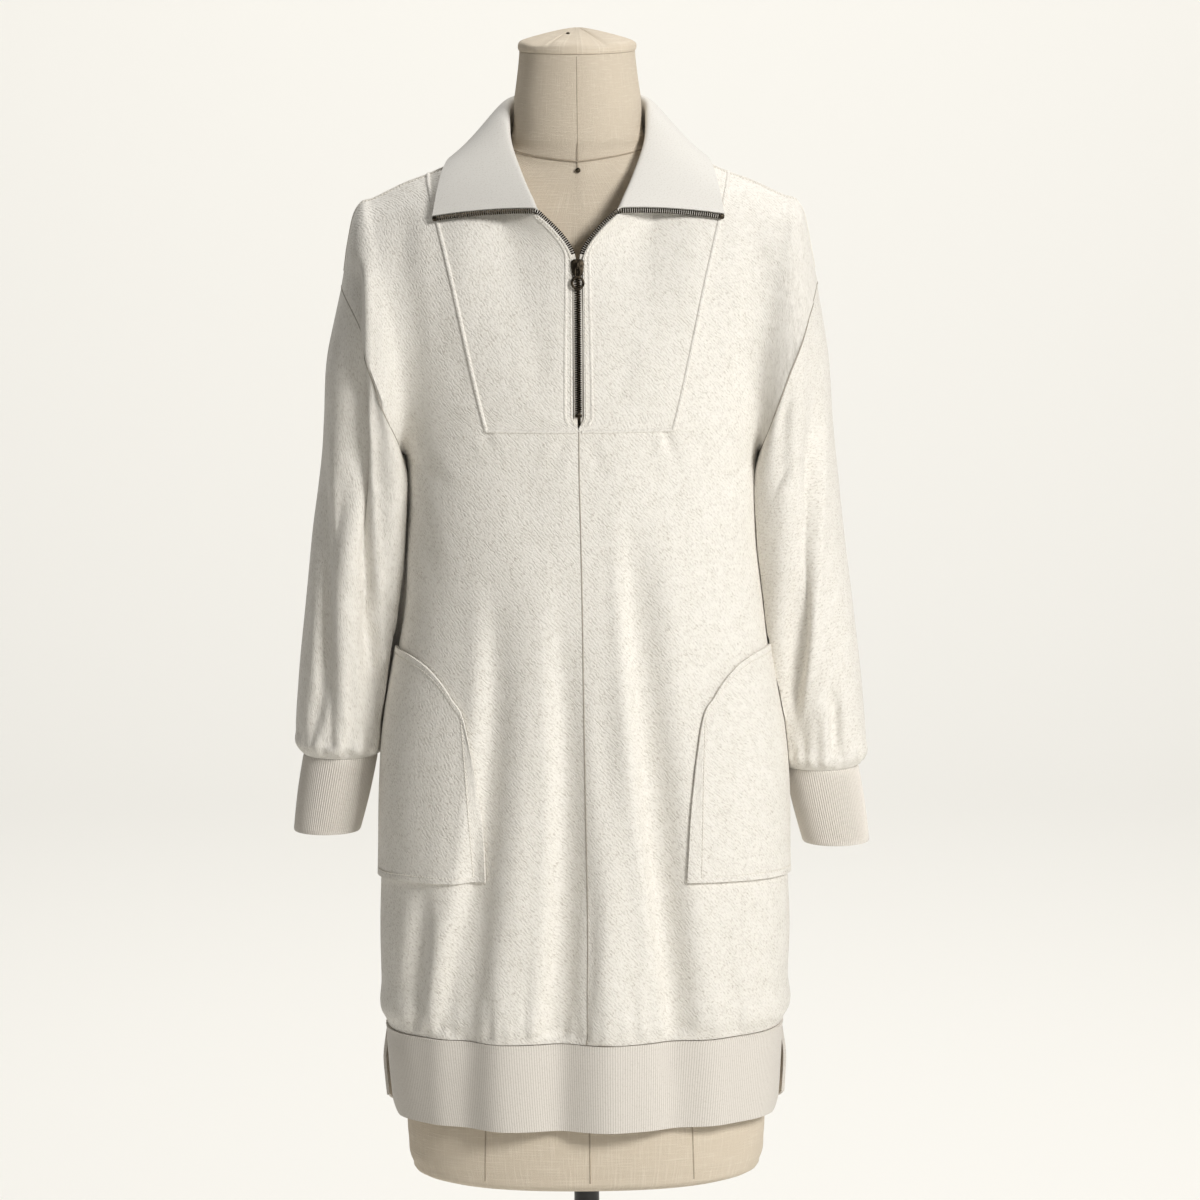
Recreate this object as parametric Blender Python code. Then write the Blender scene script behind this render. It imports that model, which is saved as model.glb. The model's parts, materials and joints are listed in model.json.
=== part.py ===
"""Half-zip sweatshirt dress, standing on a limbless dress form with a pole and a round base.

Metres, +Z up, the front of the dress faces -Y. The origin is on the floor under the pole.

The cloth pieces are worked out as grids of outer points. Neighbouring pieces share the points and the
normals of their seam, each piece is set back half a seam gap from it, and the wall goes inwards.
"""

import math

import bmesh
import bpy
import numpy as np
from mathutils import Matrix, Vector
from mathutils.bvhtree import BVHTree

# ---------------------------------------------------------------- driving dimensions (metres)
FLEECE_WALL = 0.0022      # body, sleeves, yoke and pockets
COLLAR_WALL = 0.0018      # smooth knit collar
RIB_WALL = 0.0020         # cuffs and hem bands
SEAM_GAP = 0.0003         # between pieces at a seam
POCKET_LIFT = 0.0008      # patch pocket above the front panel

HEM_SEAM_Z = 0.618        # skirt to hem band
HEM_BOTTOM_Z = 0.538
UNDERARM_Z = 1.141
YOKE_BOTTOM_Z = 1.175
ZIP_STOP_Z = 1.186        # lower end of the zip's slot
ZIP_MOUTH_Z = 1.328       # the open zip spreads above this height
NECK_FRONT_Z = 1.3665
ZIP_HALF_SLOT = 0.0048    # cloth edge to the centre line beside the closed zip
MOUTH_SPREAD = 0.0275     # how far each open edge has moved out at the front of the neck
MOUTH_LIFT = 0.004        # and forwards

CHAIN_HALF = 0.0030               # half width of the closed chain
CHAIN_BOTTOM_Z = 1.1915
SLIDER_Z = 1.3205
PULL_AXIS = (0.0, -0.00285, 0.00015)   # hinge of the pull, from the slider's centre on the cloth
TAPE_SPAN = (0.0003, 0.0014)      # from the cloth's edge
TEETH_SPAN = (0.0017, 0.0046)
WELD = 2e5                        # points closer than 1/WELD are one point

BODY_POWER = 2.3          # superellipse power of the body's level sections

POLE_RADIUS = 0.0115
BASE_RADIUS = 0.190
FORM_BOTTOM_Z = 0.476

# Level sections of the dress: height, half width left and right, depth in front and behind.
SECTIONS = [
    (0.530, 0.1740, 0.1741, 0.1165, 0.1080),
    (0.560, 0.1770, 0.1762, 0.1165, 0.1080),
    (0.600, 0.1800, 0.1785, 0.1155, 0.1080),
    (0.618, 0.1812, 0.1800, 0.1150, 0.1080),
    (0.630, 0.1862, 0.1872, 0.1185, 0.1110),
    (0.660, 0.1866, 0.1862, 0.1180, 0.1110),
    (0.700, 0.1870, 0.1878, 0.1175, 0.1105),
    (0.766, 0.1852, 0.1858, 0.1165, 0.1090),
    (0.845, 0.1830, 0.1852, 0.1150, 0.1070),
    (0.888, 0.1800, 0.1817, 0.1145, 0.1050),
    (0.932, 0.1735, 0.1748, 0.1135, 0.1025),
    (0.969, 0.1668, 0.1699, 0.1125, 0.1005),
    (1.006, 0.1610, 0.1663, 0.1115, 0.0985),
    (1.055, 0.1590, 0.1614, 0.1105, 0.0975),
    (1.100, 0.1585, 0.1608, 0.1095, 0.0980),
    (1.141, 0.1596, 0.1609, 0.1085, 0.0990),
]

# Centre-front line: height, offset to the side.
CENTRE = [(0.530, 0.0029), (0.620, 0.0014), (0.750, 0.0019), (0.880, 0.0012),
          (1.020, 0.0006), (1.175, -0.0015), (1.400, -0.0009)]

# Folds of the skirt. Each runs from a high point to a low point, as a trough (or a ridge where the
# depth is negative): x and z at the top, x and z at the hem, depth at the hem, width.
FRONT_FOLDS = [
    (-0.071, 1.070, -0.112, 0.640, 0.0100, 0.024),
    (-0.017, 1.090, -0.024, 0.640, 0.0100, 0.022),
    (0.048, 1.125, 0.083, 0.640, 0.0110, 0.024),
    (0.010, 1.000, 0.020, 0.640, -0.0040, 0.020),
    (0.110, 0.800, 0.137, 0.640, 0.0050, 0.018),
    (-0.145, 0.800, -0.150, 0.640, 0.0050, 0.016),
    (-0.120, 0.900, -0.134, 0.640, -0.0030, 0.014),
    (-0.085, 0.760, -0.078, 0.640, -0.0035, 0.018),
]
BACK_FOLDS = [
    (-0.060, 1.100, -0.098, 0.640, 0.0110, 0.025),
    (0.012, 1.060, 0.005, 0.640, 0.0090, 0.024),
    (0.072, 1.110, 0.106, 0.640, 0.0110, 0.025),
    (-0.030, 0.960, -0.045, 0.640, -0.0040, 0.022),
    (0.040, 0.900, 0.056, 0.640, -0.0035, 0.020),
    (0.130, 0.860, 0.148, 0.640, 0.0040, 0.016),
    (-0.125, 0.840, -0.146, 0.640, 0.0045, 0.016),
]

# Upper edge of the front, outwards from the zip: u, x, y, z. The first rows are the neckline, which
# the open zip moves out, and the rest is the shoulder seam down to the top of the armhole.
TOP_FRONT = [
    (0.000, 0.0000, -0.0865, 1.3665),
    (0.120, 0.0261, -0.0680, 1.3850),
    (0.240, 0.0571, -0.0400, 1.4060),
    (0.360, 0.0740, -0.0130, 1.4215),
    (0.480, 0.1050, -0.0120, 1.4105),
    (0.600, 0.1350, -0.0100, 1.3975),
    (0.700, 0.1570, -0.0070, 1.3890),
    (0.800, 0.1850, -0.0045, 1.3755),
    (0.860, 0.1965, -0.0030, 1.3710),
    (0.900, 0.2030, -0.0020, 1.3600),
    (0.945, 0.2085, -0.0010, 1.3350),
    (1.000, 0.2150, 0.0000, 1.2960),
]
TOP_BACK = [(0.000, 0.0000, 0.0680, 1.4430), (0.120, 0.0400, 0.0560, 1.4410),
            (0.240, 0.0660, 0.0250, 1.4330)] + TOP_FRONT[3:]

# How the columns of the upper body leave the underarm level and reach the top:
# u, then y and z at the lower end, and y and z at the upper end.
RISE_FRONT = [
    (0.00, -0.004, 0.090, -0.014, -0.070),
    (0.24, -0.006, 0.105, -0.045, -0.050),
    (0.36, -0.010, 0.115, -0.075, -0.034),
    (0.60, -0.016, 0.115, -0.080, -0.024),
    (0.80, -0.036, 0.090, -0.078, -0.018),
    (0.92, -0.074, 0.045, -0.090, -0.008),
    (1.00, -0.100, 0.008, -0.100, 0.000),
]
RISE_BACK = [
    (0.00, 0.008, 0.110, 0.030, -0.055),
    (0.24, 0.012, 0.120, 0.072, -0.034),
    (0.36, 0.018, 0.130, 0.108, -0.019),
    (0.60, 0.022, 0.130, 0.118, -0.013),
    (0.80, 0.040, 0.100, 0.102, -0.010),
    (0.92, 0.072, 0.048, 0.090, -0.006),
    (1.00, 0.100, 0.008, 0.100, 0.000),
]

# Sleeve, from the armhole (0) to the cuff seam (1): x and z of its outer line, x and z of its inner
# line, half depth, and how far its centre lies behind the side seam.
SLEEVE = [
    (0.00, 0.2150, 1.2960, 0.1600, 1.1410, 0.0750, 0.000),
    (0.12, 0.2245, 1.2400, 0.1590, 1.1100, 0.0700, 0.005),
    (0.30, 0.2310, 1.1750, 0.1560, 1.0620, 0.0640, 0.013),
    (0.50, 0.2415, 1.0900, 0.1560, 1.0080, 0.0590, 0.019),
    (0.70, 0.2520, 1.0050, 0.1600, 0.9500, 0.0550, 0.022),
    (0.85, 0.2600, 0.9300, 0.1690, 0.9030, 0.0510, 0.022),
    (0.94, 0.2625, 0.8880, 0.1765, 0.8790, 0.0470, 0.021),
    (0.985, 0.2610, 0.8710, 0.1825, 0.8690, 0.0430, 0.020),
    (1.00, 0.2555, 0.8645, 0.1885, 0.8640, 0.0360, 0.020),
]
# Folds of the sleeves: angle round the sleeve at the top and at the bottom (0 outer, 90 front,
# 180 inner, 270 back), where they start and end along it, depth, width in degrees.
SLEEVE_FOLDS_LEFT = [
    (118, 112, 0.22, 0.97, 0.0110, 17),
    (60, 54, 0.30, 0.99, 0.0055, 10),
    (84, 80, 0.02, 0.62, -0.0040, 14),
    (104, 100, 0.02, 0.30, 0.0050, 12),
    (246, 252, 0.20, 0.96, 0.0100, 18),
    (300, 306, 0.30, 0.99, 0.0055, 12),
    (208, 204, 0.10, 0.60, 0.0050, 13),
]
SLEEVE_FOLDS_RIGHT = [
    (76, 116, 0.30, 0.97, 0.0105, 15),
    (70, 66, 0.78, 0.99, 0.0040, 9),
    (56, 88, 0.05, 0.80, -0.0035, 14),
    (100, 96, 0.02, 0.28, 0.0050, 12),
    (256, 240, 0.18, 0.96, 0.0100, 18),
    (292, 310, 0.34, 0.99, 0.0060, 12),
    (210, 206, 0.12, 0.58, 0.0045, 13),
]
RIGHT_SLEEVE_DROP = 0.014         # the right sleeve hangs this much longer
RIGHT_SLEEVE_IN = 0.004           # and closer
SLEEVE_CLEARANCE = 0.0036         # between the sleeve and the side of the body
POCKET_CLEARANCE = 0.0032         # more beside the pocket

# Cuff: half width and half depth at its seam and its open end, length, lean outwards.
CUFF = dict(half_width=0.0300, half_depth=0.0315, length=0.0710, lean=0.0135)

# Collar, from the centre back (0) to the front edge (1).
# Roll line: x, y, z of the underside of the fold.
COLLAR_ROLL = [
    (0.00, 0.0000, 0.0720, 1.4640),
    (0.25, 0.0445, 0.0520, 1.4635),
    (0.42, 0.0625, 0.0200, 1.4600),
    (0.55, 0.0650, -0.0060, 1.4520),
    (0.70, 0.0635, -0.0330, 1.4290),
    (0.85, 0.0540, -0.0620, 1.4025),
    (1.00, 0.0345, -0.0915, 1.3720),
]
# Outer edge of the fall: x, y, z.
COLLAR_EDGE = [
    (0.00, 0.0000, 0.1010, 1.3960),
    (0.25, 0.0620, 0.0870, 1.3980),
    (0.42, 0.0980, 0.0480, 1.4080),
    (0.55, 0.1125, 0.0040, 1.4110),
    (0.70, 0.1200, -0.0270, 1.4035),
    (0.85, 0.1255, -0.0490, 1.3860),
    (1.00, 0.1300, -0.0640, 1.3640),
]
# How the fall arches between them: lift near the roll, then outwards and upwards near the edge.
COLLAR_ARCH = [
    (0.00, 0.007, 0.002, 0.024),
    (0.42, 0.009, 0.012, 0.016),
    (0.55, 0.010, 0.016, 0.013),
    (0.85, 0.016, 0.022, 0.010),
    (1.00, 0.026, 0.034, 0.006),
]

# Patch pocket: distance of its upright inner edge from the centre, by the share of its height,
# then its curved mouth as distance from the centre and height.
POCKET_EDGE = [(0.0, 0.0938), (0.30, 0.0947), (0.65, 0.0962), (1.0, 0.0995)]
POCKET_MOUTH = [(0.0995, 0.8680), (0.1050, 0.9060), (0.1170, 0.9320), (0.1360, 0.9560),
                (0.1520, 0.9655), (0.1700, 0.9690)]
POCKET_BOTTOM_Z = 0.7652
POCKET_BOTTOM_DROP = 0.008        # its lower edge falls towards the side seam
POCKET_SIDE_U = 0.965

# Dress form: height, half width, how far in front of the pole its widest line lies, depth before and
# behind that line, power of the level section.
FORM_SECTIONS = [
    (0.4760, 0.1400, 0.0000, 0.0850, 0.0780, 2.3),
    (0.4795, 0.1520, 0.0000, 0.0930, 0.0850, 2.3),
    (0.4900, 0.1600, 0.0000, 0.0970, 0.0885, 2.3),
    (0.5120, 0.1635, 0.0000, 0.0985, 0.0900, 2.3),
    (0.5600, 0.1640, 0.0000, 0.0985, 0.0905, 2.3),
    (0.7000, 0.1620, 0.0000, 0.0975, 0.0920, 2.3),
    (0.8400, 0.1540, 0.0000, 0.0930, 0.0900, 2.3),
    (0.9400, 0.1330, 0.0000, 0.0830, 0.0810, 2.2),
    (1.0300, 0.1180, 0.0000, 0.0790, 0.0720, 2.2),
    (1.1000, 0.1270, 0.0000, 0.0850, 0.0760, 2.2),
    (1.1700, 0.1400, 0.0000, 0.0950, 0.0820, 2.2),
    (1.2200, 0.1480, 0.0005, 0.0935, 0.0845, 2.2),
    (1.2700, 0.1560, 0.0020, 0.0820, 0.0850, 2.2),
    (1.3100, 0.1640, 0.0040, 0.0710, 0.0830, 2.2),
    (1.3350, 0.1700, 0.0060, 0.0620, 0.0790, 2.0),
    (1.3530, 0.1740, 0.0080, 0.0570, 0.0750, 1.8),
    (1.3670, 0.1730, 0.0085, 0.0530, 0.0720, 1.65),
    (1.3780, 0.1695, 0.0085, 0.0500, 0.0700, 1.55),
    (1.3885, 0.1488, 0.0085, 0.0480, 0.0680, 1.5),
    (1.3950, 0.1338, 0.0085, 0.0470, 0.0660, 1.45),
    (1.4015, 0.1162, 0.0085, 0.0460, 0.0640, 1.42),
    (1.4060, 0.0995, 0.0080, 0.0455, 0.0625, 1.40),
    (1.4110, 0.0815, 0.0070, 0.0460, 0.0610, 1.5),
    (1.4190, 0.0660, 0.0040, 0.0495, 0.0585, 1.7),
    (1.4300, 0.0585, 0.0000, 0.0540, 0.0550, 1.95),
    (1.4700, 0.0552, 0.0000, 0.0545, 0.0545, 2.0),
    (1.5065, 0.0530, 0.0000, 0.0530, 0.0530, 2.0),
]
CAP_SECTIONS = [(1.5068, 0.0536), (1.5125, 0.0545), (1.5150, 0.0530), (1.5235, 0.0260)]
CAP_TOP_Z = 1.5275

# Numbers of cells in the cloth grids.
ROWS_LOW = 19
UP_SHARES = [0.0, 0.055, 0.14, 0.24, 0.34, 0.45, 0.56, 0.67, 0.78, 0.89, 1.0]   # rows of the yoke
ROWS_UP = len(UP_SHARES)
COLUMNS_SIDE = 7                  # side seam to yoke seam
COLUMNS_YOKE = 5                  # yoke seam to centre
YOKE_U_LOW = 0.350
YOKE_U_TOP = 0.600
NECK_U = 0.360
ROWS_SLEEVE = 13
FORM_SIDES = 24


# ---------------------------------------------------------------- small helpers
def smoothstep(value):
    value = np.clip(value, 0.0, 1.0)
    return value * value * (3.0 - 2.0 * value)


def curve(rows, at):
    """Smooth values of a table at one key or an array of keys; its first column is the key."""
    rows = np.asarray(rows, float)
    key, values = rows[:, 0], rows[:, 1:]
    at = np.asarray(at, float)
    slope = np.gradient(values, key, axis=0)
    i = np.clip(np.searchsorted(key, at) - 1, 0, len(key) - 2)
    step = (key[i + 1] - key[i])[..., None]
    f = np.clip((at - key[i])[..., None] / step, 0.0, 1.0)
    return (values[i] * (1 + 2 * f) * (1 - f) ** 2 + slope[i] * step * f * (1 - f) ** 2
            + values[i + 1] * f * f * (3 - 2 * f) + slope[i + 1] * step * f * f * (f - 1))


def unit(vectors):
    return vectors / np.maximum(np.linalg.norm(vectors, axis=-1, keepdims=True), 1e-12)


def bezier(a, b, c, d, t):
    t = t[..., None]
    return a * (1 - t) ** 3 + 3 * b * t * (1 - t) ** 2 + 3 * c * t * t * (1 - t) + d * t ** 3


# ---------------------------------------------------------------- the body's surface
def folds(rows, x, z):
    """Depth of the skirt's folds below its plain surface at x and z."""
    depth = np.zeros(np.broadcast(x, z).shape)
    for x_top, z_top, x_low, z_low, most, width in rows:
        down = np.clip((z_top - z) / (z_top - z_low), 0.0, 1.15)
        grown = smoothstep(down)
        middle = x_top + (x_low - x_top) * down
        depth = depth + most * grown * np.exp(-((x - middle) / (width * (0.6 + 0.4 * grown))) ** 2)
    return depth


def lower_body(u, z, face):
    """Points of the skirt and waist; u runs -1..1 from side seam to side seam, face is -1 or 1."""
    left, right, front, back = np.moveaxis(curve(SECTIONS, z), -1, 0)
    side = np.abs(np.sin(u * math.pi / 2))
    x = curve(CENTRE, z)[..., 0] * (1 - side) + np.where(u < 0, -left, right) * side
    depth = front if face < 0 else back
    y = face * depth * np.maximum(1 - side ** BODY_POWER, 0.0) ** (1 / BODY_POWER)
    inwards = folds(FRONT_FOLDS if face < 0 else BACK_FOLDS, x, z) * (1 - side ** 4)
    x = x - inwards * np.sin(u * math.pi / 2)
    y = y - inwards * np.cos(u * math.pi / 2) * face
    return np.stack([x, y, z + 0 * x], -1)


def zip_opening(z):
    """Distance of each zip edge from the centre line: nothing, then the slot, then the open mouth."""
    slot = ZIP_HALF_SLOT * smoothstep((z - YOKE_BOTTOM_Z - 0.002) / (ZIP_STOP_Z - YOKE_BOTTOM_Z))
    mouth = np.clip((z - ZIP_MOUTH_Z) / (NECK_FRONT_Z - ZIP_MOUTH_Z), 0.0, 1.0)
    return slot, MOUTH_SPREAD * mouth ** 1.35, MOUTH_LIFT * smoothstep(mouth)


def upper_body(u, v, face):
    """Points between the underarm level (v = 0) and the shoulder seam and neckline (v = 1)."""
    out, sign = np.abs(u), np.where(u < 0, -1.0, 1.0)
    low = lower_body(u, np.full(u.shape, UNDERARM_Z), face)
    top = curve(TOP_FRONT if face < 0 else TOP_BACK, out)
    middle = curve(CENTRE, top[..., 2])[..., 0] * (1 - smoothstep(out / NECK_U))
    top = np.stack([top[..., 0] * sign + middle, top[..., 1], top[..., 2]], -1)
    rise = curve(RISE_FRONT if face < 0 else RISE_BACK, out)
    zero = np.zeros(u.shape)
    leave = low + np.stack([zero, rise[..., 0], rise[..., 1]], -1)
    arrive = top + np.stack([zero, rise[..., 2], rise[..., 3]], -1)
    points = bezier(low, leave, arrive, top, v)
    if face < 0:
        near = 1 - smoothstep(out / NECK_U)
        slot, spread, lift = zip_opening(points[..., 2])
        points[..., 0] += sign * near * (slot + spread)
        points[..., 1] -= near * lift
    return points


def seam_row(u):
    """The v at which each front column crosses the yoke's bottom seam."""
    low, high = np.zeros(u.shape), np.full(u.shape, 0.5)
    for _ in range(24):
        middle = (low + high) / 2
        below = upper_body(u, middle, -1)[..., 2] < YOKE_BOTTOM_Z
        low, high = np.where(below, middle, low), np.where(below, high, middle)
    even = 1.0 / ROWS_UP
    away = smoothstep((np.abs(u) - NECK_U) / 0.3)
    return low * (1 - away) + even * away


def column_lines(up):
    """|u| of the columns from the side seam to the centre, at a height up the yoke from 0 to 1."""
    yoke = YOKE_U_LOW + (YOKE_U_TOP - YOKE_U_LOW) * (1 - (1 - up) ** 1.7)
    side = np.arange(COLUMNS_SIDE) / COLUMNS_SIDE
    inner = np.arange(COLUMNS_YOKE + 1) / COLUMNS_YOKE
    return np.concatenate([1 - (1 - yoke) * side, yoke * (1 - inner)])


def half_body(sign, face):
    """Outer points of one half of the front or back, rows from the hem seam to the top."""
    tuck = np.array([0.0, 0.006, 0.014, 0.028])
    evenly = np.linspace(0.052, UNDERARM_Z - HEM_SEAM_Z, ROWS_LOW - len(tuck) + 1)
    heights = HEM_SEAM_Z + np.concatenate([tuck, evenly])
    centre = -1e-9
    u_low = np.maximum(column_lines(0.0), -centre)[None, :] * np.ones((len(heights), 1)) * sign
    low = lower_body(u_low, heights[:, None] + 0 * u_low, face)
    rows = []
    for up in UP_SHARES:
        u = np.maximum(column_lines(up), -centre) * sign
        first = seam_row(u)
        rows.append(upper_body(u, first + (1 - first) * up, face))
    return np.concatenate([low, np.array(rows)])


# ---------------------------------------------------------------- sleeves and cuffs
def body_side(y, z):
    """Half width of the body at depth y and height z, the larger of its two sides."""
    left, right, front, back = np.moveaxis(curve(SECTIONS, np.minimum(z, UNDERARM_Z)), -1, 0)
    depth = np.where(y < 0, front, back)
    share = np.clip(1 - (np.abs(y) / depth) ** BODY_POWER, 0.0, 1.0) ** (1 / BODY_POWER)
    return np.maximum(left, right) * share


def sleeve_points(angle, along, sign):
    """Points of the sleeve; angle 0 is its outer line and a quarter turn is its front."""
    x_out, z_out, x_in, z_in, depth, behind = np.moveaxis(curve(SLEEVE, along), -1, 0)
    if sign > 0:
        x_out = x_out - RIGHT_SLEEVE_IN * smoothstep(along / 0.6)
        x_in = x_in - RIGHT_SLEEVE_IN * smoothstep((along - 0.9) / 0.1)
        z_out = z_out - RIGHT_SLEEVE_DROP * along
        z_in = z_in - RIGHT_SLEEVE_DROP * along
    inwards = np.zeros(np.broadcast(angle, along).shape)
    for a_top, a_low, start, end, most, width in (SLEEVE_FOLDS_RIGHT if sign > 0 else SLEEVE_FOLDS_LEFT):
        f = np.clip((along - start) / (end - start), 0.0, 1.0)
        grown = smoothstep(4.0 * f) * smoothstep(6.0 * (1.0 - f))
        middle = np.radians(a_top + (a_low - a_top) * f)
        inwards = inwards + most * grown * np.exp(-((angle - middle) / math.radians(width)) ** 2)
    half = np.hypot(x_out - x_in, z_out - z_in) / 2
    small = 1 - inwards / half
    x = (x_out + x_in) / 2 + np.cos(angle) * small * (x_out - x_in) / 2
    z = (z_out + z_in) / 2 + np.cos(angle) * small * (z_out - z_in) / 2
    y = behind - np.sin(angle) * small * depth
    return np.stack([x, y, z], -1)


def clear_of_body(points):
    """The same points, moved outwards where they come too near to the side of the body."""
    x, y, z = np.moveaxis(points, -1, 0)
    room = SLEEVE_CLEARANCE * smoothstep((UNDERARM_Z - z) / 0.012)
    room = room + POCKET_CLEARANCE * smoothstep((0.995 - z) / 0.03) * smoothstep((0.012 - y) / 0.02)
    limit = np.where(z < UNDERARM_Z, body_side(y, z) + room, 0.0)
    return np.stack([np.maximum(x, limit), y, z], -1)


def sleeve(sign, armhole):
    """Rings of the sleeve; the first one is the armhole, given from the underarm round the front."""
    count = len(armhole)
    angle = math.pi * (1 - 2 * np.arange(count) / count) % (2 * math.pi)
    along = 1 - (1 - np.linspace(0, 1, ROWS_SLEEVE + 1)) ** 1.15
    grid_angle, grid_along = np.meshgrid(angle, along)
    rings = sleeve_points(grid_angle, grid_along, sign)
    first = armhole * np.array([sign, 1, 1])
    fade = 1 - smoothstep(along / 0.30)
    rings = rings + (first - rings[0])[None] * fade[:, None, None]
    rings[1:] = clear_of_body(rings[1:])
    rings[..., 0] *= sign
    return np.concatenate([rings, rings[:, :1]], axis=1)


def cuff(sign, seam):
    """Rings of the rib cuff, from the sleeve's last ring to its open end."""
    seam = seam[:-1]
    centre = seam.mean(axis=0)
    angle = math.pi * (1 - 2 * np.arange(len(seam)) / len(seam))
    end = np.stack([centre[0] + sign * CUFF["lean"] + sign * CUFF["half_width"] * np.cos(angle),
                    centre[1] - CUFF["half_depth"] * np.sin(angle),
                    centre[2] - CUFF["length"] + 0 * angle], -1)
    rings = []
    for t in (0.0, 0.08, 0.5, 1.0):
        rings.append(seam * (1 - t) + end * t)
    rings = np.array(rings)
    return np.concatenate([rings, rings[:, :1]], axis=1)


# ---------------------------------------------------------------- collar
def refine(line):
    """The same line with a point halfway along each stretch."""
    fine = np.repeat(line, 2, axis=0)[:-1]
    fine[1::2] = (line[:-1] + line[1:]) / 2
    return fine


def collar(neck):
    """Grid of the collar, columns along the neck seam, rows from the seam over the roll to the edge.

    Its reference side faces away from the neck on the stand and down on the fall.
    """
    place = np.linspace(-1, 1, len(neck))
    out, sign = np.abs(place), np.where(place < 0, -1.0, 1.0)
    flip = np.stack([sign, np.ones(len(neck)), np.ones(len(neck))], -1)
    roll = curve(COLLAR_ROLL, out) * flip
    edge = curve(COLLAR_EDGE, out) * flip
    lift, back_out, back_up = np.moveaxis(curve(COLLAR_ARCH, out), -1, 0)
    across = unit((edge - roll) * np.array([1, 1, 0]))
    upwards = np.array([0, 0, 1.0])
    height = np.linalg.norm(roll - neck, axis=-1)
    stand_1 = neck + 0.45 * height[:, None] * unit(roll - neck - 0.2 * height[:, None] * across)
    stand_2 = roll - across * np.minimum(0.006, 0.5 * height)[:, None]
    fall_1 = roll + across * lift[:, None]
    fall_2 = edge - across * back_out[:, None] + upwards * back_up[:, None]
    rows = []
    for t in (0.0, 0.3, 0.6, 0.85):
        rows.append(bezier(neck, stand_1, stand_2, roll, np.full(len(neck), t)))
    for t in (0.0, 0.14, 0.34, 0.56, 0.78, 1.0):
        rows.append(bezier(roll, fall_1, fall_2, edge, np.full(len(neck), t)))
    return np.array(rows)


# ---------------------------------------------------------------- from grids to solid walls
def quads(ids, mask=None):
    """Corner numbers of the cells of a grid of point numbers."""
    cells = np.stack([ids[:-1, :-1], ids[:-1, 1:], ids[1:, 1:], ids[1:, :-1]], -1)
    return cells[mask] if mask is not None else cells.reshape(-1, 4)


class Cloth:
    """Grids of outer points, welded along their seams so that neighbours share seam normals."""

    def __init__(self):
        self.pieces = {}
        self.points = []
        self.count = 0

    def add(self, name, grid, mask=None, turned=False):
        """Put a grid, or the masked part of it, into a named piece."""
        ids = self.count + np.arange(grid.shape[0] * grid.shape[1]).reshape(grid.shape[:2])
        self.points.append(grid.reshape(-1, 3))
        self.count += ids.size
        cells = quads(ids, mask)
        self.pieces.setdefault(name, []).append(cells[:, [0, 3, 2, 1]] if turned else cells)

    def numbers(self, line):
        """Numbers of the welded points of a line."""
        place = {tuple(k): i for i, k in enumerate(np.round(self.skin * WELD).astype(np.int64).tolist())}
        return np.array([place[tuple(k)] for k in np.round(line * WELD).astype(np.int64).tolist()])

    def weld(self, halfway=None):
        """Merge equal points and work out the normals of the whole skin.

        The body, each sleeve, each cuff and the collar count once each at a shared point. Every second
        point of the line called halfway takes the mean normal of its two neighbours.
        """
        points = np.concatenate(self.points)
        _, first, same = np.unique(np.round(points * WELD).astype(np.int64), axis=0,
                                   return_index=True, return_inverse=True)
        self.skin = points[first]
        same = same.reshape(-1)
        self.faces = {}
        groups = {}
        for name, parts in self.pieces.items():
            cells = same[np.concatenate(parts)]
            self.faces[name] = cells
            a, b, c, d = (self.skin[cells[:, k]] for k in range(4))
            across = np.cross(c - a, d - b)
            group = "body" if name.split("_")[0] in ("front", "yoke", "back") else name
            normals = groups.setdefault(group, np.zeros(self.skin.shape))
            for k in range(4):
                np.add.at(normals, cells[:, k], across)
        self.normals = unit(sum(unit(normals) for normals in groups.values()))
        if halfway is not None:
            line = self.numbers(halfway)
            self.normals[line[1::2]] = unit(self.normals[line[:-1:2]] + self.normals[line[2::2]])
        level = np.abs(self.skin[:, 2] - HEM_SEAM_Z) < 1e-5
        self.normals[level, 2] = 0.0
        self.normals = unit(self.normals)

    def boundary(self, name):
        """Directed edges of the piece that only one of its cells uses."""
        cells = self.faces[name]
        edges = np.concatenate([cells[:, [k, (k + 1) % 4]] for k in range(4)])
        pairs = set(map(tuple, edges.tolist()))
        return [(a, b) for a, b in edges.tolist() if (b, a) not in pairs]

    def wall(self, name, thickness):
        """Vertices and faces of the closed wall of one piece."""
        edges = self.boundary(name)
        points = self.skin.copy()
        inwards = {}
        for a, b in edges:
            middle = unit(self.normals[a] + self.normals[b])
            way = unit(np.cross(middle, self.skin[b] - self.skin[a]))
            inwards.setdefault(a, []).append(way)
            inwards.setdefault(b, []).append(way)
        for vertex, ways in inwards.items():
            mean = unit(sum(ways))
            reach = max(0.5, float(np.dot(mean, ways[0])))
            points[vertex] = self.skin[vertex] + mean * (SEAM_GAP / 2 / reach)
        used, local = np.unique(self.faces[name], return_inverse=True)
        local = local.reshape(self.faces[name].shape)
        outer = points[used]
        inner = outer - self.normals[used] * thickness
        number = {vertex: i for i, vertex in enumerate(used.tolist())}
        count = len(used)
        front = np.concatenate([local[:, [0, 1, 2]], local[:, [0, 2, 3]]])
        faces = front.tolist() + (front[:, ::-1] + count).tolist()
        for a, b in edges:
            near, far = number[a], number[b]
            if a < b:
                faces += [[far, near, near + count], [far, near + count, far + count]]
            else:
                faces += [[far, near, far + count], [near, near + count, far + count]]
        return np.concatenate([outer, inner]), faces


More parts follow.
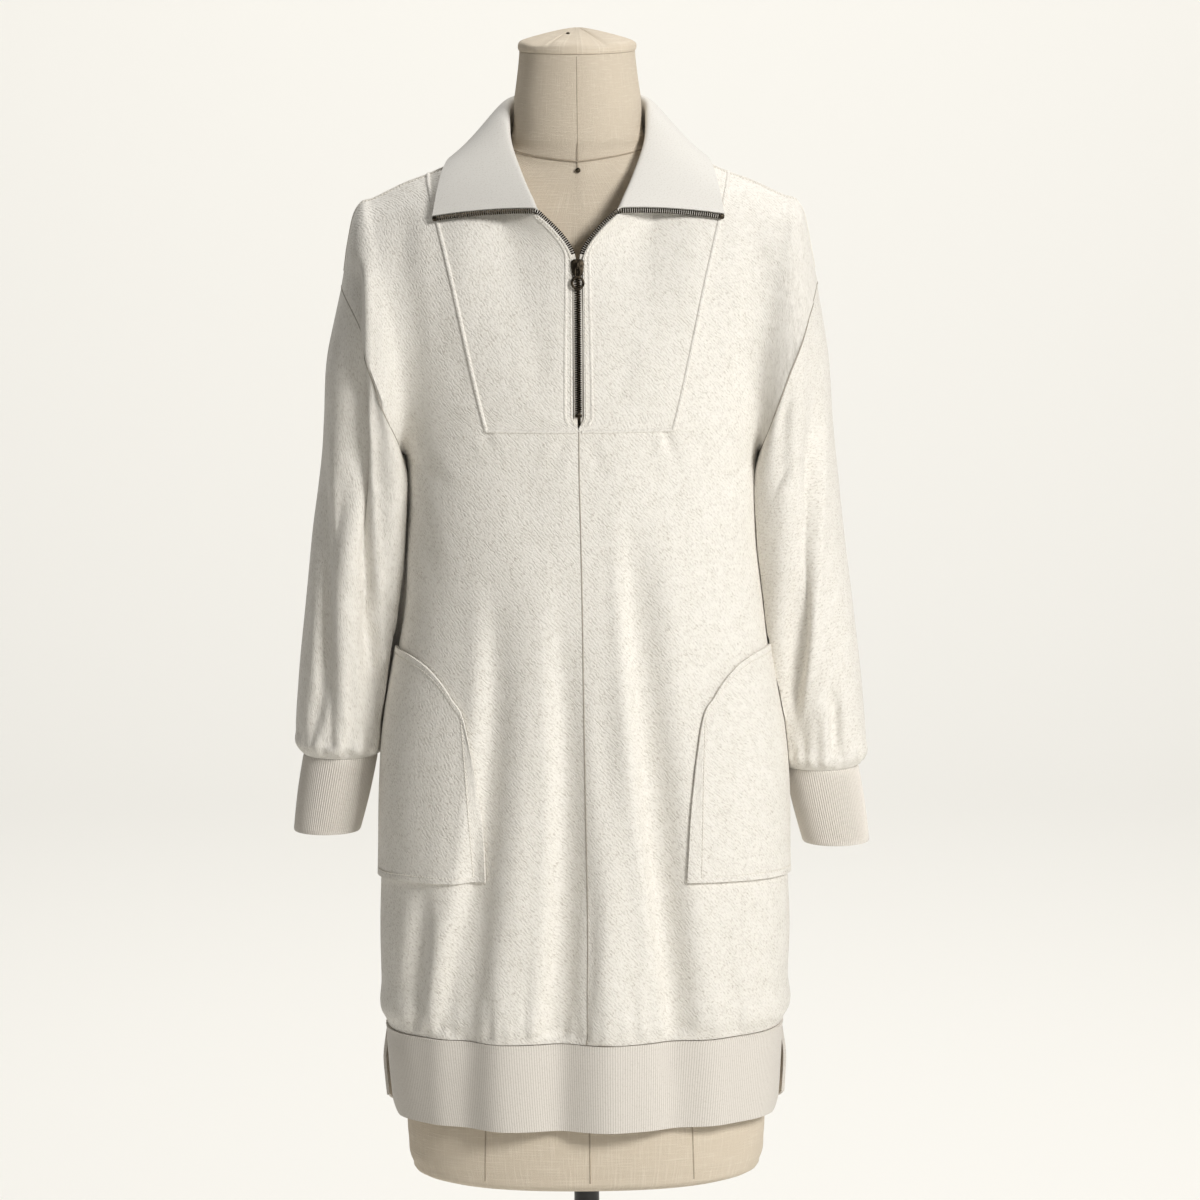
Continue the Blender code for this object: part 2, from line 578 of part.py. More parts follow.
# ---------------------------------------------------------------- objects and materials
def material(name, colour, roughness, metallic=0.0):
    made = bpy.data.materials.new(name)
    made.use_nodes = True
    shader = made.node_tree.nodes["Principled BSDF"]
    shader.inputs["Base Color"].default_value = (*colour, 1.0)
    shader.inputs["Roughness"].default_value = roughness
    shader.inputs["Metallic"].default_value = metallic
    return made


def add_object(name, vertices, faces, finish, smooth=True):
    mesh = bpy.data.meshes.new(name)
    mesh.from_pydata([tuple(map(float, v)) for v in vertices], [], faces)
    mesh.materials.append(finish)
    if smooth:
        mesh.shade_smooth()
        mesh.set_sharp_from_angle(angle=math.radians(40))
    made = bpy.data.objects.new(name, mesh)
    bpy.context.scene.collection.objects.link(made)
    return made


def turned(name, rings, finish):
    """A closed solid through level rings of equal length, with flat ends."""
    rings = np.asarray(rings)
    count = rings.shape[1]
    ids = np.arange(rings.shape[0] * count).reshape(rings.shape[:2])
    closed = np.concatenate([ids, ids[:, :1]], axis=1)
    faces = quads(closed).tolist()
    faces += [ids[0, ::-1].tolist(), ids[-1].tolist()]
    return add_object(name, rings.reshape(-1, 3), faces, finish)


def round_rings(profile, sides):
    """Level round rings of (radius, height) rows."""
    angle = 2 * math.pi * np.arange(sides) / sides
    return [np.stack([r * np.cos(angle), r * np.sin(angle), 0 * angle + z], -1) for r, z in profile]


def blocks(x_cuts, y_cuts, z_cuts, filled):
    """Vertices and faces of the solid made of the filled cells between three lists of cuts."""
    filled = set(filled)
    corners, faces = {}, []

    def corner(i, j, k):
        return corners.setdefault((i, j, k), len(corners))

    sides = {(-1, 0, 0): ((0, 0, 0), (0, 0, 1), (0, 1, 1), (0, 1, 0)),
             (1, 0, 0): ((1, 0, 0), (1, 1, 0), (1, 1, 1), (1, 0, 1)),
             (0, -1, 0): ((0, 0, 0), (1, 0, 0), (1, 0, 1), (0, 0, 1)),
             (0, 1, 0): ((0, 1, 0), (0, 1, 1), (1, 1, 1), (1, 1, 0)),
             (0, 0, -1): ((0, 0, 0), (0, 1, 0), (1, 1, 0), (1, 0, 0)),
             (0, 0, 1): ((0, 0, 1), (1, 0, 1), (1, 1, 1), (0, 1, 1))}
    for i, j, k in sorted(filled):
        for (di, dj, dk), quad in sides.items():
            if (i + di, j + dj, k + dk) not in filled:
                faces.append([corner(i + a, j + b, k + c) for a, b, c in quad])
    vertices = [(x_cuts[i], y_cuts[j], z_cuts[k]) for i, j, k in corners]
    return np.array(vertices), faces


def strip(name, line, ways, normals, span, depth, finish):
    """A flat strip beside an edge line: across it by span, through the wall by depth."""
    near, far = (line + ways * s for s in span)
    front, back = (-normals * d for d in depth)
    ring = np.stack([near + front, far + front, far + back, near + back], 1)
    ids = np.arange(ring.shape[0] * 4).reshape(-1, 4)
    closed = np.concatenate([ids, ids[:, :1]], axis=1)
    faces = quads(closed).tolist() + [ids[0, ::-1].tolist(), ids[-1].tolist()]
    made = add_object(name, ring.reshape(-1, 3), faces, finish, smooth=False)
    mesh = bmesh.new()
    mesh.from_mesh(made.data)
    bmesh.ops.recalc_face_normals(mesh, faces=mesh.faces)
    mesh.to_mesh(made.data)
    mesh.free()
    return made


# ---------------------------------------------------------------- the garment
def build_cloth():
    """All sewn pieces; returns the welded cloth and the two zip edge lines."""
    cloth = Cloth()
    rows = ROWS_LOW + ROWS_UP
    columns = COLUMNS_SIDE + COLUMNS_YOKE
    yoke = np.zeros((rows, columns), bool)
    yoke[ROWS_LOW + 1:, COLUMNS_SIDE:] = True
    front, back = {}, {}
    for sign, name in ((-1, "left"), (1, "right")):
        front[sign] = half_body(sign, -1)
        back[sign] = half_body(sign, 1)
        cloth.add(f"front_{name}", front[sign], ~yoke, turned=sign > 0)
        cloth.add(f"yoke_{name}", front[sign], yoke, turned=sign > 0)
        cloth.add("back", back[sign], turned=sign < 0)
    neck_column = COLUMNS_SIDE + round(COLUMNS_YOKE * (1 - NECK_U / YOKE_U_TOP))
    front_neck = {sign: front[sign][-1, neck_column:] for sign in front}
    back_neck = {sign: back[sign][-1, neck_column:] for sign in back}
    neck = np.concatenate([front_neck[-1][::-1], back_neck[-1][1:], back_neck[1][-2::-1],
                           front_neck[1][1:]])
    collar_grid = collar(refine(neck))
    cloth.add("collar", collar_grid, turned=True)
    for sign, name in ((-1, "left"), (1, "right")):
        armhole = np.concatenate([front[sign][ROWS_LOW:, 0], back[sign][-2:ROWS_LOW:-1, 0]])
        rings = sleeve(sign, armhole)
        cloth.add(f"sleeve_{name}", rings, turned=sign > 0)
        cloth.add(f"cuff_{name}", cuff(sign, rings[-1]), turned=sign > 0)
    cloth.weld(halfway=refine(neck))
    return cloth, front, collar_grid


def band(u_top, u_low, face, wider):
    """Outer points of a hem band between two side edges, a little below the hem seam."""
    share = np.linspace(-1, 1, 2 * (COLUMNS_SIDE + COLUMNS_YOKE) + 1)
    rows = []
    for t in (0.0, 0.12, 0.5, 1.0):
        corner = 0.010 * smoothstep((np.abs(share) - 0.86) / 0.14) * t ** 3
        z = HEM_SEAM_Z - SEAM_GAP + (HEM_BOTTOM_Z - HEM_SEAM_Z + SEAM_GAP) * t + corner
        u = share * (u_top + (u_low - u_top) * t)
        points = lower_body(u, z, face)
        points[:, 0] *= 1 + wider * smoothstep(t / 0.5)
        rows.append(points)
    return np.array(rows)


def pocket_lines(up, across, sign):
    """u and height on the front of the points of the patch pocket, both shares run 0..1."""
    bottom = POCKET_BOTTOM_Z - POCKET_BOTTOM_DROP * across
    z = bottom + 0.12 * up
    for _ in range(6):
        half = curve(SECTIONS, z)[..., 0 if sign < 0 else 1]
        inner = np.arcsin(np.clip(curve(POCKET_EDGE, up)[..., 0] / half, 0, 0.995)) * 2 / math.pi
        u = inner + (POCKET_SIDE_U - inner) * across
        mouth = curve(POCKET_MOUTH, half * np.sin(u * math.pi / 2))[..., 0]
        z = bottom * (1 - up) + mouth * up
    return u * sign, z


def pocket(sign, panel):
    """Outer points of the patch pocket's underside: points of the front panel's own faces."""
    across, up = np.meshgrid(np.linspace(0, 1, 15), np.linspace(0, 1, 12))
    u, z = pocket_lines(up, across, sign)
    grid = lower_body(u, z, -1)
    lean = unit(np.stack([np.sin(u * math.pi / 2), -np.cos(u * math.pi / 2), 0 * u], -1))
    for row, ways in zip(grid, lean):
        for k in range(len(row)):
            hit = panel.ray_cast(Vector(row[k] + ways[k] * 0.01), Vector(-ways[k]))[0]
            row[k] = hit if hit is not None else row[k]
    return grid


def shell(name, grid, flip, lift, thickness, finish):
    """A separate wall over a grid, lifted along its normals."""
    cloth = Cloth()
    cloth.add(name, grid, turned=flip)
    cloth.weld()
    cloth.skin = cloth.skin + cloth.normals * lift
    vertices, faces = cloth.wall(name, thickness)
    return add_object(name, vertices, faces, finish)


def edge_frame(line, normals, towards):
    """Unit directions square to a line and to its normals, pointing to the given x side."""
    run = np.gradient(line, axis=0)
    ways = unit(np.cross(run, normals))
    return ways * np.sign(ways[0, 0] * towards)


def build_zip(front, collar_grid, cloth, tape, metal):
    """Tapes and tooth rows along both edges, the closed chain, its stops, the slider and its pull."""
    first = ROWS_LOW + 2
    for sign, name in ((-1, "left"), (1, "right")):
        closed = front[sign][first:, -1]
        wing = collar_grid[1:, 0 if sign < 0 else -1]
        line = np.concatenate([closed, wing])
        normals = cloth.normals[cloth.numbers(line)]
        ways = edge_frame(line, normals, -sign)
        strip(f"zip_tape_{name}", line, ways, normals, TAPE_SPAN, (0.0004, COLLAR_WALL - 0.0002), tape)
        start = int(np.argmax(line[:, 2] > ZIP_MOUTH_Z + 0.004))
        before = line[-1] + (line[-2] - line[-1]) * 0.2
        row = np.concatenate([line[start:-1], before[None]])
        stop = np.stack([before + (line[-1] - before) * 0.12, line[-1]])
        strip(f"zip_teeth_{name}", row, ways[start:], normals[start:], TEETH_SPAN,
              (-0.0003, COLLAR_WALL + 0.0003), metal)
        strip(f"zip_top_stop_{name}", stop, ways[-2:], normals[-2:], TEETH_SPAN,
              (-0.0005, COLLAR_WALL + 0.0005), metal)
    middle = (front[-1][first - 1:, -1] + front[1][first - 1:, -1]) / 2

    def on_zip(z):
        """Point on the centre line of the zip, in the outer face of the cloth."""
        return np.array([np.interp(z, middle[:, 2], middle[:, k]) for k in range(3)])

    def chain_part(name, z_low, z_high, half, depth):
        heights = [z_low] + [z for z in middle[:, 2] if z_low + 0.004 < z < z_high - 0.004] + [z_high]
        line = np.array([on_zip(z) for z in heights])
        run = unit(np.gradient(line, axis=0))
        sideways = np.tile([1.0, 0.0, 0.0], (len(line), 1))
        strip(name, line, sideways, unit(np.cross(sideways, run)), (-half, half), depth, metal)

    chain_part("zip_bottom_stop", CHAIN_BOTTOM_Z - 0.0035, CHAIN_BOTTOM_Z - SEAM_GAP, 0.0031,
               (-0.0004, 0.0026))
    chain_part("zip_chain", CHAIN_BOTTOM_Z, SLIDER_Z + 0.0045, CHAIN_HALF, (-0.0002, 0.0024))
    below, above = on_zip(SLIDER_Z - 0.008), on_zip(SLIDER_Z + 0.006)
    up = Vector(above - below).normalized()
    across = Vector((1, 0, 0))
    frame = Matrix.Translation(Vector(on_zip(SLIDER_Z))) @ Matrix(
        (across, up.cross(across), up)).transposed().to_4x4()
    build_slider(frame, metal)
    build_pull(frame @ Matrix.Translation(PULL_AXIS), metal)


def build_slider(frame, metal):
    """Two plates joined above the chain, and the crown that holds the pull's crossbar."""
    x_cuts = [-0.0060, -0.0029, -0.0009, 0.0009, 0.0029, 0.0060]
    y_cuts = [-0.0047, -0.0038, -0.0019, -0.0004, 0.0026, 0.0039]
    z_cuts = [-0.0075, -0.0020, -0.0008, 0.0036, 0.0050, 0.0075]
    plates = [(i, j, k) for i in range(5) for j in (2, 4) for k in range(5)]
    post = [(i, 3, 4) for i in (1, 2, 3)]
    crown = [(2, 1, 1), (2, 1, 3), (2, 0, 1), (2, 0, 2), (2, 0, 3)]
    vertices, faces = blocks(x_cuts, y_cuts, z_cuts, plates + post + crown)
    narrow = vertices[:, 2] < -0.007
    vertices[narrow, 0] *= 0.86
    made = add_object("zip_slider", vertices, faces, metal, smooth=False)
    made.matrix_world = frame


def build_pull(frame, metal):
    """Pull tab about its crossbar: a stem with a slot for the crown and a round holed end."""
    half, thick = 0.0029, 0.0013
    top, slot_top, slot_low = 0.00065, -0.00065, -0.0060
    centre, radius, hole = -0.0140, 0.0063, 0.0038
    join = math.asin(0.0024 / radius)
    round_end = [math.pi / 2 - join - (2 * math.pi - 2 * join) * t / 20 for t in range(21)]
    outline = [(half, top), (half, -0.0045)]
    outline += [(radius * math.cos(a), centre + radius * math.sin(a)) for a in round_end]
    outline += [(-half, -0.0045), (-half, top)]
    slot = [(0.0014, slot_top), (0.0014, slot_low), (-0.0014, slot_low), (-0.0014, slot_top)]
    ring = [(hole * math.cos(2 * math.pi * t / 16), centre + hole * math.sin(2 * math.pi * t / 16))
            for t in range(16)]
    mesh = bmesh.new()
    edges = []
    for loop in (outline, slot, ring):
        corners = [mesh.verts.new((x, -thick / 2, z)) for x, z in loop]
        edges += [mesh.edges.new((corners[i - 1], corners[i])) for i in range(len(corners))]
    made = bmesh.ops.triangle_fill(mesh, use_beauty=True, edges=edges)
    flat = [item for item in made["geom"] if isinstance(item, bmesh.types.BMFace)]
    grown = bmesh.ops.extrude_face_region(mesh, geom=flat)
    for item in grown["geom"]:
        if isinstance(item, bmesh.types.BMVert):
            item.co.y += thick
    bmesh.ops.recalc_face_normals(mesh, faces=mesh.faces)
    data = bpy.data.meshes.new("pull_tab")
    mesh.to_mesh(data)
    mesh.free()
    data.materials.append(metal)
    pull = bpy.data.objects.new("pull_tab", data)
    bpy.context.scene.collection.objects.link(pull)
    pull.matrix_world = frame


def main():
    for thing in list(bpy.data.objects):
        bpy.data.objects.remove(thing, do_unlink=True)
    fleece = material("heather_fleece", (0.80, 0.76, 0.68), 0.95)
    knit = material("smooth_knit", (0.82, 0.78, 0.71), 0.92)
    rib = material("rib_knit", (0.78, 0.72, 0.64), 0.95)
    canvas = material("canvas", (0.66, 0.58, 0.46), 0.9)
    tape = material("zip_tape", (0.84, 0.80, 0.72), 0.9)
    brass = material("aged_brass", (0.16, 0.12, 0.08), 0.45, 1.0)
    black = material("black_enamel", (0.02, 0.02, 0.02), 0.4)

    cloth, front, collar_grid = build_cloth()
    walls = dict(collar=(COLLAR_WALL, knit), cuff_left=(RIB_WALL, rib), cuff_right=(RIB_WALL, rib))
    for name in cloth.faces:
        thickness, finish = walls.get(name, (FLEECE_WALL, fleece))
        vertices, faces = cloth.wall(name, thickness)
        add_object(name, vertices, faces, finish)
    shell("hem_front", band(0.985, 0.955, -1, 0.0), False, 0.0, RIB_WALL, rib)
    shell("hem_back", band(1.0, 1.0, 1, 0.030), True, 0.0, RIB_WALL, rib)
    for sign, name in ((-1, "left"), (1, "right")):
        cells = cloth.faces[f"front_{name}"]
        panel = BVHTree.FromPolygons([Vector(v) for v in cloth.skin],
                                     np.concatenate([cells[:, [0, 1, 2]], cells[:, [0, 2, 3]]]).tolist())
        shell(f"pocket_{name}", pocket(sign, panel), sign < 0, POCKET_LIFT + FLEECE_WALL, FLEECE_WALL,
              fleece)
    build_zip(front, collar_grid, cloth, tape, brass)

    angle = 2 * math.pi * np.arange(FORM_SIDES) / FORM_SIDES
    heights = np.array([row[0] for row in FORM_SECTIONS])
    rings = []
    for z in heights:
        half, forward, ahead, behind, power = curve(FORM_SECTIONS, z)
        x = half * np.sign(np.cos(angle)) * np.abs(np.cos(angle)) ** (2 / power)
        deep = np.where(np.sin(angle) < 0, ahead, behind)
        y = deep * np.sign(np.sin(angle)) * np.abs(np.sin(angle)) ** (2 / power)
        rings.append(np.stack([x, y - forward, 0 * x + z], -1))
    turned("form_body", rings, canvas)
    cap = round_rings([(r, z) for z, r in CAP_SECTIONS] + [(0.004, CAP_TOP_Z)], FORM_SIDES)
    turned("form_cap", cap, canvas)
    pole = round_rings([(POLE_RADIUS, 0.0303), (POLE_RADIUS, FORM_BOTTOM_Z - SEAM_GAP)], 20)
    turned("form_pole", pole, black)
    base = round_rings([(BASE_RADIUS, 0.0), (BASE_RADIUS, 0.008), (BASE_RADIUS - 0.006, 0.014),
                        (0.030, 0.020), (0.022, 0.030)], 32)
    turned("form_base", base, black)


main()
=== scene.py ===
# %% [markdown]
# # A half-zip sweatshirt dress, hanging on a dress form
#
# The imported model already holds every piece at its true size: fronts, yokes, back, sleeves, collar, pockets,
# rib bands, zip and form. This lesson dresses it. Each sewn piece is drawn again on the same tables of
# sizes, with cells of about 3 mm instead of 20 mm, so that it can carry creases, ribs and seams.
#
# The cloth could be simulated, but the photograph shows long quiet folds that a simulation would only
# guess at. Here each fold is a row in a table, so its place and depth can be compared with the picture.

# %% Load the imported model
import json
import math

import bpy
import numpy as np
from mathutils import Matrix, Vector

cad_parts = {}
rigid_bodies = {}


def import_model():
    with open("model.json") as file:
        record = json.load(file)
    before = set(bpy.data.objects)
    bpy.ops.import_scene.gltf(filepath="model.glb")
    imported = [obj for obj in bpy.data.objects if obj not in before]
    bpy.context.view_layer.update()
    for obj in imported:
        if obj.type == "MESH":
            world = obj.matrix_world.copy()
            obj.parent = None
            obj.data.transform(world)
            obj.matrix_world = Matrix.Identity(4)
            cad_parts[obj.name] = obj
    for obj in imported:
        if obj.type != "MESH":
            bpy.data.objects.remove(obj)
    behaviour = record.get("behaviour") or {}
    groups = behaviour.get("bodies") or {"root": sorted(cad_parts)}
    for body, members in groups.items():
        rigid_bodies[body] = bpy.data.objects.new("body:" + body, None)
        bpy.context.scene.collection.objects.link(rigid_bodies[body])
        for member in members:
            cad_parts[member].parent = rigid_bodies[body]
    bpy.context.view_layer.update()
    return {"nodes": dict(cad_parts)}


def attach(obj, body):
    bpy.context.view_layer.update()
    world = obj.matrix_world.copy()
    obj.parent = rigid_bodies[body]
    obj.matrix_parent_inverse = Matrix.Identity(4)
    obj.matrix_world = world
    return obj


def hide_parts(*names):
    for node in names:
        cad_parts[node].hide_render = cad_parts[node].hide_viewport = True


for thing in list(bpy.data.objects):
    bpy.data.objects.remove(thing, do_unlink=True)
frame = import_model()
print("nodes in the packed model:", len(frame["nodes"]))

# %% [markdown]
# ## Sizes
#
# The garment is measured once, in tables. A level section of the skirt needs its half widths and depths, the
# upper edge of the front needs points along the neckline and the shoulder, and a sleeve needs its outer and
# inner lines. A cutting pattern would hold the same numbers. They could be splines drawn by hand in the
# viewport, but rows of numbers are easier to compare, to mirror and to repeat exactly.

# %% Cloth walls and the main heights
FLEECE_WALL = 0.0022      # body, sleeves, yoke and pockets
COLLAR_WALL = 0.0018      # smooth knit collar
RIB_WALL = 0.0020         # cuffs and hem bands
SEAM_GAP = 0.0003         # between pieces at a seam
POCKET_LIFT = 0.0008      # patch pocket above the front panel

HEM_SEAM_Z = 0.618        # skirt to hem band
HEM_BOTTOM_Z = 0.538
UNDERARM_Z = 1.141
YOKE_BOTTOM_Z = 1.175
ZIP_STOP_Z = 1.186        # lower end of the zip's slot
ZIP_MOUTH_Z = 1.328       # the open zip spreads above this height
NECK_FRONT_Z = 1.3665
ZIP_HALF_SLOT = 0.0048    # cloth edge to the centre line beside the closed zip
MOUTH_SPREAD = 0.0300     # how far each open edge has moved out at the front of the neck
MOUTH_LIFT = 0.004        # and forwards

CHAIN_HALF = 0.0030               # half width of the closed chain
CHAIN_BOTTOM_Z = 1.1915
SLIDER_Z = 1.3205
WELD = 2e5                        # points closer than 1/WELD are one point

BODY_POWER = 2.3          # superellipse power of the body's level sections

POLE_RADIUS = 0.0115
BASE_RADIUS = 0.190
FORM_BOTTOM_Z = 0.476

# %% Level sections and the folds of the skirt
# Level sections of the dress: height, half width left and right, depth in front and behind.
SECTIONS = [
    (0.530, 0.1740, 0.1741, 0.1165, 0.1080),
    (0.560, 0.1770, 0.1762, 0.1165, 0.1080),
    (0.600, 0.1800, 0.1785, 0.1155, 0.1080),
    (0.618, 0.1812, 0.1800, 0.1150, 0.1080),
    (0.630, 0.1862, 0.1872, 0.1185, 0.1110),
    (0.660, 0.1866, 0.1862, 0.1180, 0.1110),
    (0.700, 0.1870, 0.1878, 0.1175, 0.1105),
    (0.766, 0.1852, 0.1858, 0.1165, 0.1090),
    (0.845, 0.1830, 0.1852, 0.1150, 0.1070),
    (0.888, 0.1800, 0.1817, 0.1145, 0.1050),
    (0.932, 0.1735, 0.1748, 0.1135, 0.1025),
    (0.969, 0.1668, 0.1699, 0.1125, 0.1005),
    (1.006, 0.1610, 0.1663, 0.1115, 0.0985),
    (1.055, 0.1590, 0.1614, 0.1105, 0.0975),
    (1.100, 0.1585, 0.1608, 0.1095, 0.0980),
    (1.141, 0.1596, 0.1609, 0.1085, 0.0990),
]

# Centre-front line: height, offset to the side.
CENTRE = [(0.530, 0.0029), (0.620, 0.0014), (0.750, 0.0019), (0.880, 0.0012),
          (1.020, 0.0006), (1.175, -0.0015), (1.400, -0.0009)]

# Folds of the skirt. Each runs from a high point to a low point, as a trough (or a ridge where the
# depth is negative): x and z at the top, x and z at the hem, depth at the hem, width.
FRONT_FOLDS = [
    (-0.071, 1.070, -0.112, 0.640, 0.0100, 0.024),
    (-0.017, 1.090, -0.024, 0.640, 0.0100, 0.022),
    (0.048, 1.125, 0.083, 0.640, 0.0110, 0.024),
    (0.010, 1.000, 0.020, 0.640, -0.0040, 0.020),
    (0.110, 0.800, 0.137, 0.640, 0.0050, 0.018),
    (-0.145, 0.800, -0.150, 0.640, 0.0050, 0.016),
    (-0.120, 0.900, -0.134, 0.640, -0.0030, 0.014),
    (-0.085, 0.760, -0.078, 0.640, -0.0035, 0.018),
]
BACK_FOLDS = [
    (-0.060, 1.100, -0.098, 0.640, 0.0110, 0.025),
    (0.012, 1.060, 0.005, 0.640, 0.0090, 0.024),
    (0.072, 1.110, 0.106, 0.640, 0.0110, 0.025),
    (-0.030, 0.960, -0.045, 0.640, -0.0040, 0.022),
    (0.040, 0.900, 0.056, 0.640, -0.0035, 0.020),
    (0.130, 0.860, 0.148, 0.640, 0.0040, 0.016),
    (-0.125, 0.840, -0.146, 0.640, 0.0045, 0.016),
]

# %% Upper edge of the body, and how its columns reach it
# Upper edge of the front, outwards from the zip: u, x, y, z. The first rows are the neckline, which
# the open zip moves out, and the rest is the shoulder seam down to the top of the armhole.
TOP_FRONT = [
    (0.000, 0.0000, -0.0865, 1.3665),
    (0.120, 0.0261, -0.0680, 1.3850),
    (0.240, 0.0571, -0.0400, 1.4060),
    (0.360, 0.0740, -0.0130, 1.4215),
    (0.480, 0.1050, -0.0120, 1.4105),
    (0.600, 0.1350, -0.0100, 1.3975),
    (0.700, 0.1570, -0.0070, 1.3890),
    (0.800, 0.1850, -0.0045, 1.3755),
    (0.860, 0.1965, -0.0030, 1.3710),
    (0.900, 0.2030, -0.0020, 1.3600),
    (0.945, 0.2085, -0.0010, 1.3350),
    (1.000, 0.2150, 0.0000, 1.2960),
]
TOP_BACK = [(0.000, 0.0000, 0.0680, 1.4430), (0.120, 0.0400, 0.0560, 1.4410),
            (0.240, 0.0660, 0.0250, 1.4330)] + TOP_FRONT[3:]

# How the columns of the upper body leave the underarm level and reach the top:
# u, then y and z at the lower end, and y and z at the upper end.
RISE_FRONT = [
    (0.00, -0.004, 0.090, -0.014, -0.070),
    (0.24, -0.006, 0.105, -0.045, -0.050),
    (0.36, -0.010, 0.115, -0.075, -0.034),
    (0.60, -0.016, 0.115, -0.080, -0.024),
    (0.80, -0.036, 0.090, -0.078, -0.018),
    (0.92, -0.074, 0.045, -0.090, -0.008),
    (1.00, -0.100, 0.008, -0.100, 0.000),
]
RISE_BACK = [
    (0.00, 0.008, 0.110, 0.030, -0.055),
    (0.24, 0.012, 0.120, 0.072, -0.034),
    (0.36, 0.018, 0.130, 0.108, -0.019),
    (0.60, 0.022, 0.130, 0.118, -0.013),
    (0.80, 0.040, 0.100, 0.102, -0.010),
    (0.92, 0.072, 0.048, 0.090, -0.006),
    (1.00, 0.100, 0.008, 0.100, 0.000),
]

# %% Sleeves and cuffs
# Sleeve, from the armhole (0) to the cuff seam (1): x and z of its outer line, x and z of its inner
# line, half depth, and how far its centre lies behind the side seam.
SLEEVE = [
    (0.00, 0.2150, 1.2960, 0.1600, 1.1410, 0.0750, 0.000),
    (0.12, 0.2245, 1.2400, 0.1500, 1.1100, 0.0700, 0.005),
    (0.30, 0.2310, 1.1750, 0.1480, 1.0620, 0.0640, 0.013),
    (0.50, 0.2415, 1.0900, 0.1520, 1.0080, 0.0590, 0.019),
    (0.70, 0.2520, 1.0050, 0.1600, 0.9500, 0.0550, 0.022),
    (0.85, 0.2600, 0.9300, 0.1690, 0.9030, 0.0510, 0.022),
    (0.94, 0.2625, 0.8880, 0.1765, 0.8790, 0.0470, 0.021),
    (0.985, 0.2610, 0.8710, 0.1825, 0.8690, 0.0430, 0.020),
    (1.00, 0.2555, 0.8645, 0.1885, 0.8640, 0.0360, 0.020),
]
# Folds of the sleeves: angle round the sleeve at the top and at the bottom (0 outer, 90 front,
# 180 inner, 270 back), where they start and end along it, depth, width in degrees.
SLEEVE_FOLDS_LEFT = [
    (118, 112, 0.50, 0.97, 0.0050, 17),
    (60, 54, 0.30, 0.99, 0.0055, 10),
    (84, 80, 0.02, 0.62, -0.0040, 14),
    (104, 100, 0.02, 0.30, 0.0010, 12),
    (246, 252, 0.20, 0.96, 0.0100, 18),
    (300, 306, 0.30, 0.99, 0.0055, 12),
    (208, 204, 0.10, 0.60, 0.0050, 13),
]
SLEEVE_FOLDS_RIGHT = [
    (96, 116, 0.50, 0.97, 0.0040, 15),
    (70, 66, 0.78, 0.99, 0.0040, 9),
    (56, 88, 0.05, 0.80, -0.0035, 14),
    (100, 96, 0.02, 0.28, 0.0050, 12),
    (256, 240, 0.18, 0.96, 0.0100, 18),
    (292, 310, 0.34, 0.99, 0.0060, 12),
    (210, 206, 0.12, 0.58, 0.0045, 13),
]
RIGHT_SLEEVE_DROP = 0.014         # the right sleeve hangs this much longer
RIGHT_SLEEVE_IN = 0.004           # and closer
SLEEVE_CLEARANCE = 0.0008         # between the sleeve and the side of the body
POCKET_CLEARANCE = 0.0032         # more beside the pocket

# Cuff: half width and half depth at its seam and its open end, length, lean outwards.
CUFF = dict(half_width=0.0300, half_depth=0.0315, length=0.0710, lean=0.0135)

# %% Collar, pockets and the dress form
# Collar, from the centre back (0) to the front edge (1).
# Roll line: x, y, z of the underside of the fold.
COLLAR_ROLL = [
    (0.00, 0.0000, 0.0720, 1.4640),
    (0.25, 0.0445, 0.0520, 1.4635),
    (0.42, 0.0625, 0.0200, 1.4600),
    (0.55, 0.0650, -0.0060, 1.4520),
    (0.70, 0.0635, -0.0330, 1.4290),
    (0.85, 0.0540, -0.0620, 1.4025),
    (1.00, 0.0400, -0.0905, 1.3728),
]
# Outer edge of the fall: x, y, z.
COLLAR_EDGE = [
    (0.00, 0.0000, 0.1010, 1.3960),
    (0.25, 0.0620, 0.0870, 1.3980),
    (0.42, 0.0980, 0.0480, 1.4080),
    (0.55, 0.1125, 0.0040, 1.4110),
    (0.70, 0.1200, -0.0270, 1.4035),
    (0.85, 0.1255, -0.0490, 1.3860),
    (1.00, 0.1300, -0.0640, 1.3640),
]
# How the fall arches between them: lift near the roll, then outwards and upwards near the edge.
COLLAR_ARCH = [
    (0.00, 0.007, 0.002, 0.024),
    (0.42, 0.009, 0.012, 0.016),
    (0.55, 0.010, 0.016, 0.013),
    (0.85, 0.016, 0.022, 0.010),
    (1.00, 0.026, 0.034, 0.006),
]

# Patch pocket: distance of its upright inner edge from the centre, by the share of its height,
# then its curved mouth as distance from the centre and height.
POCKET_EDGE = [(0.0, 0.0938), (0.30, 0.0947), (0.65, 0.0962), (1.0, 0.0995)]
POCKET_MOUTH = [(0.0995, 0.8680), (0.1050, 0.9060), (0.1170, 0.9320), (0.1360, 0.9560),
                (0.1520, 0.9655), (0.1700, 0.9690)]
POCKET_BOTTOM_Z = 0.7652
POCKET_BOTTOM_DROP = 0.008        # its lower edge falls towards the side seam
POCKET_SIDE_U = 0.965

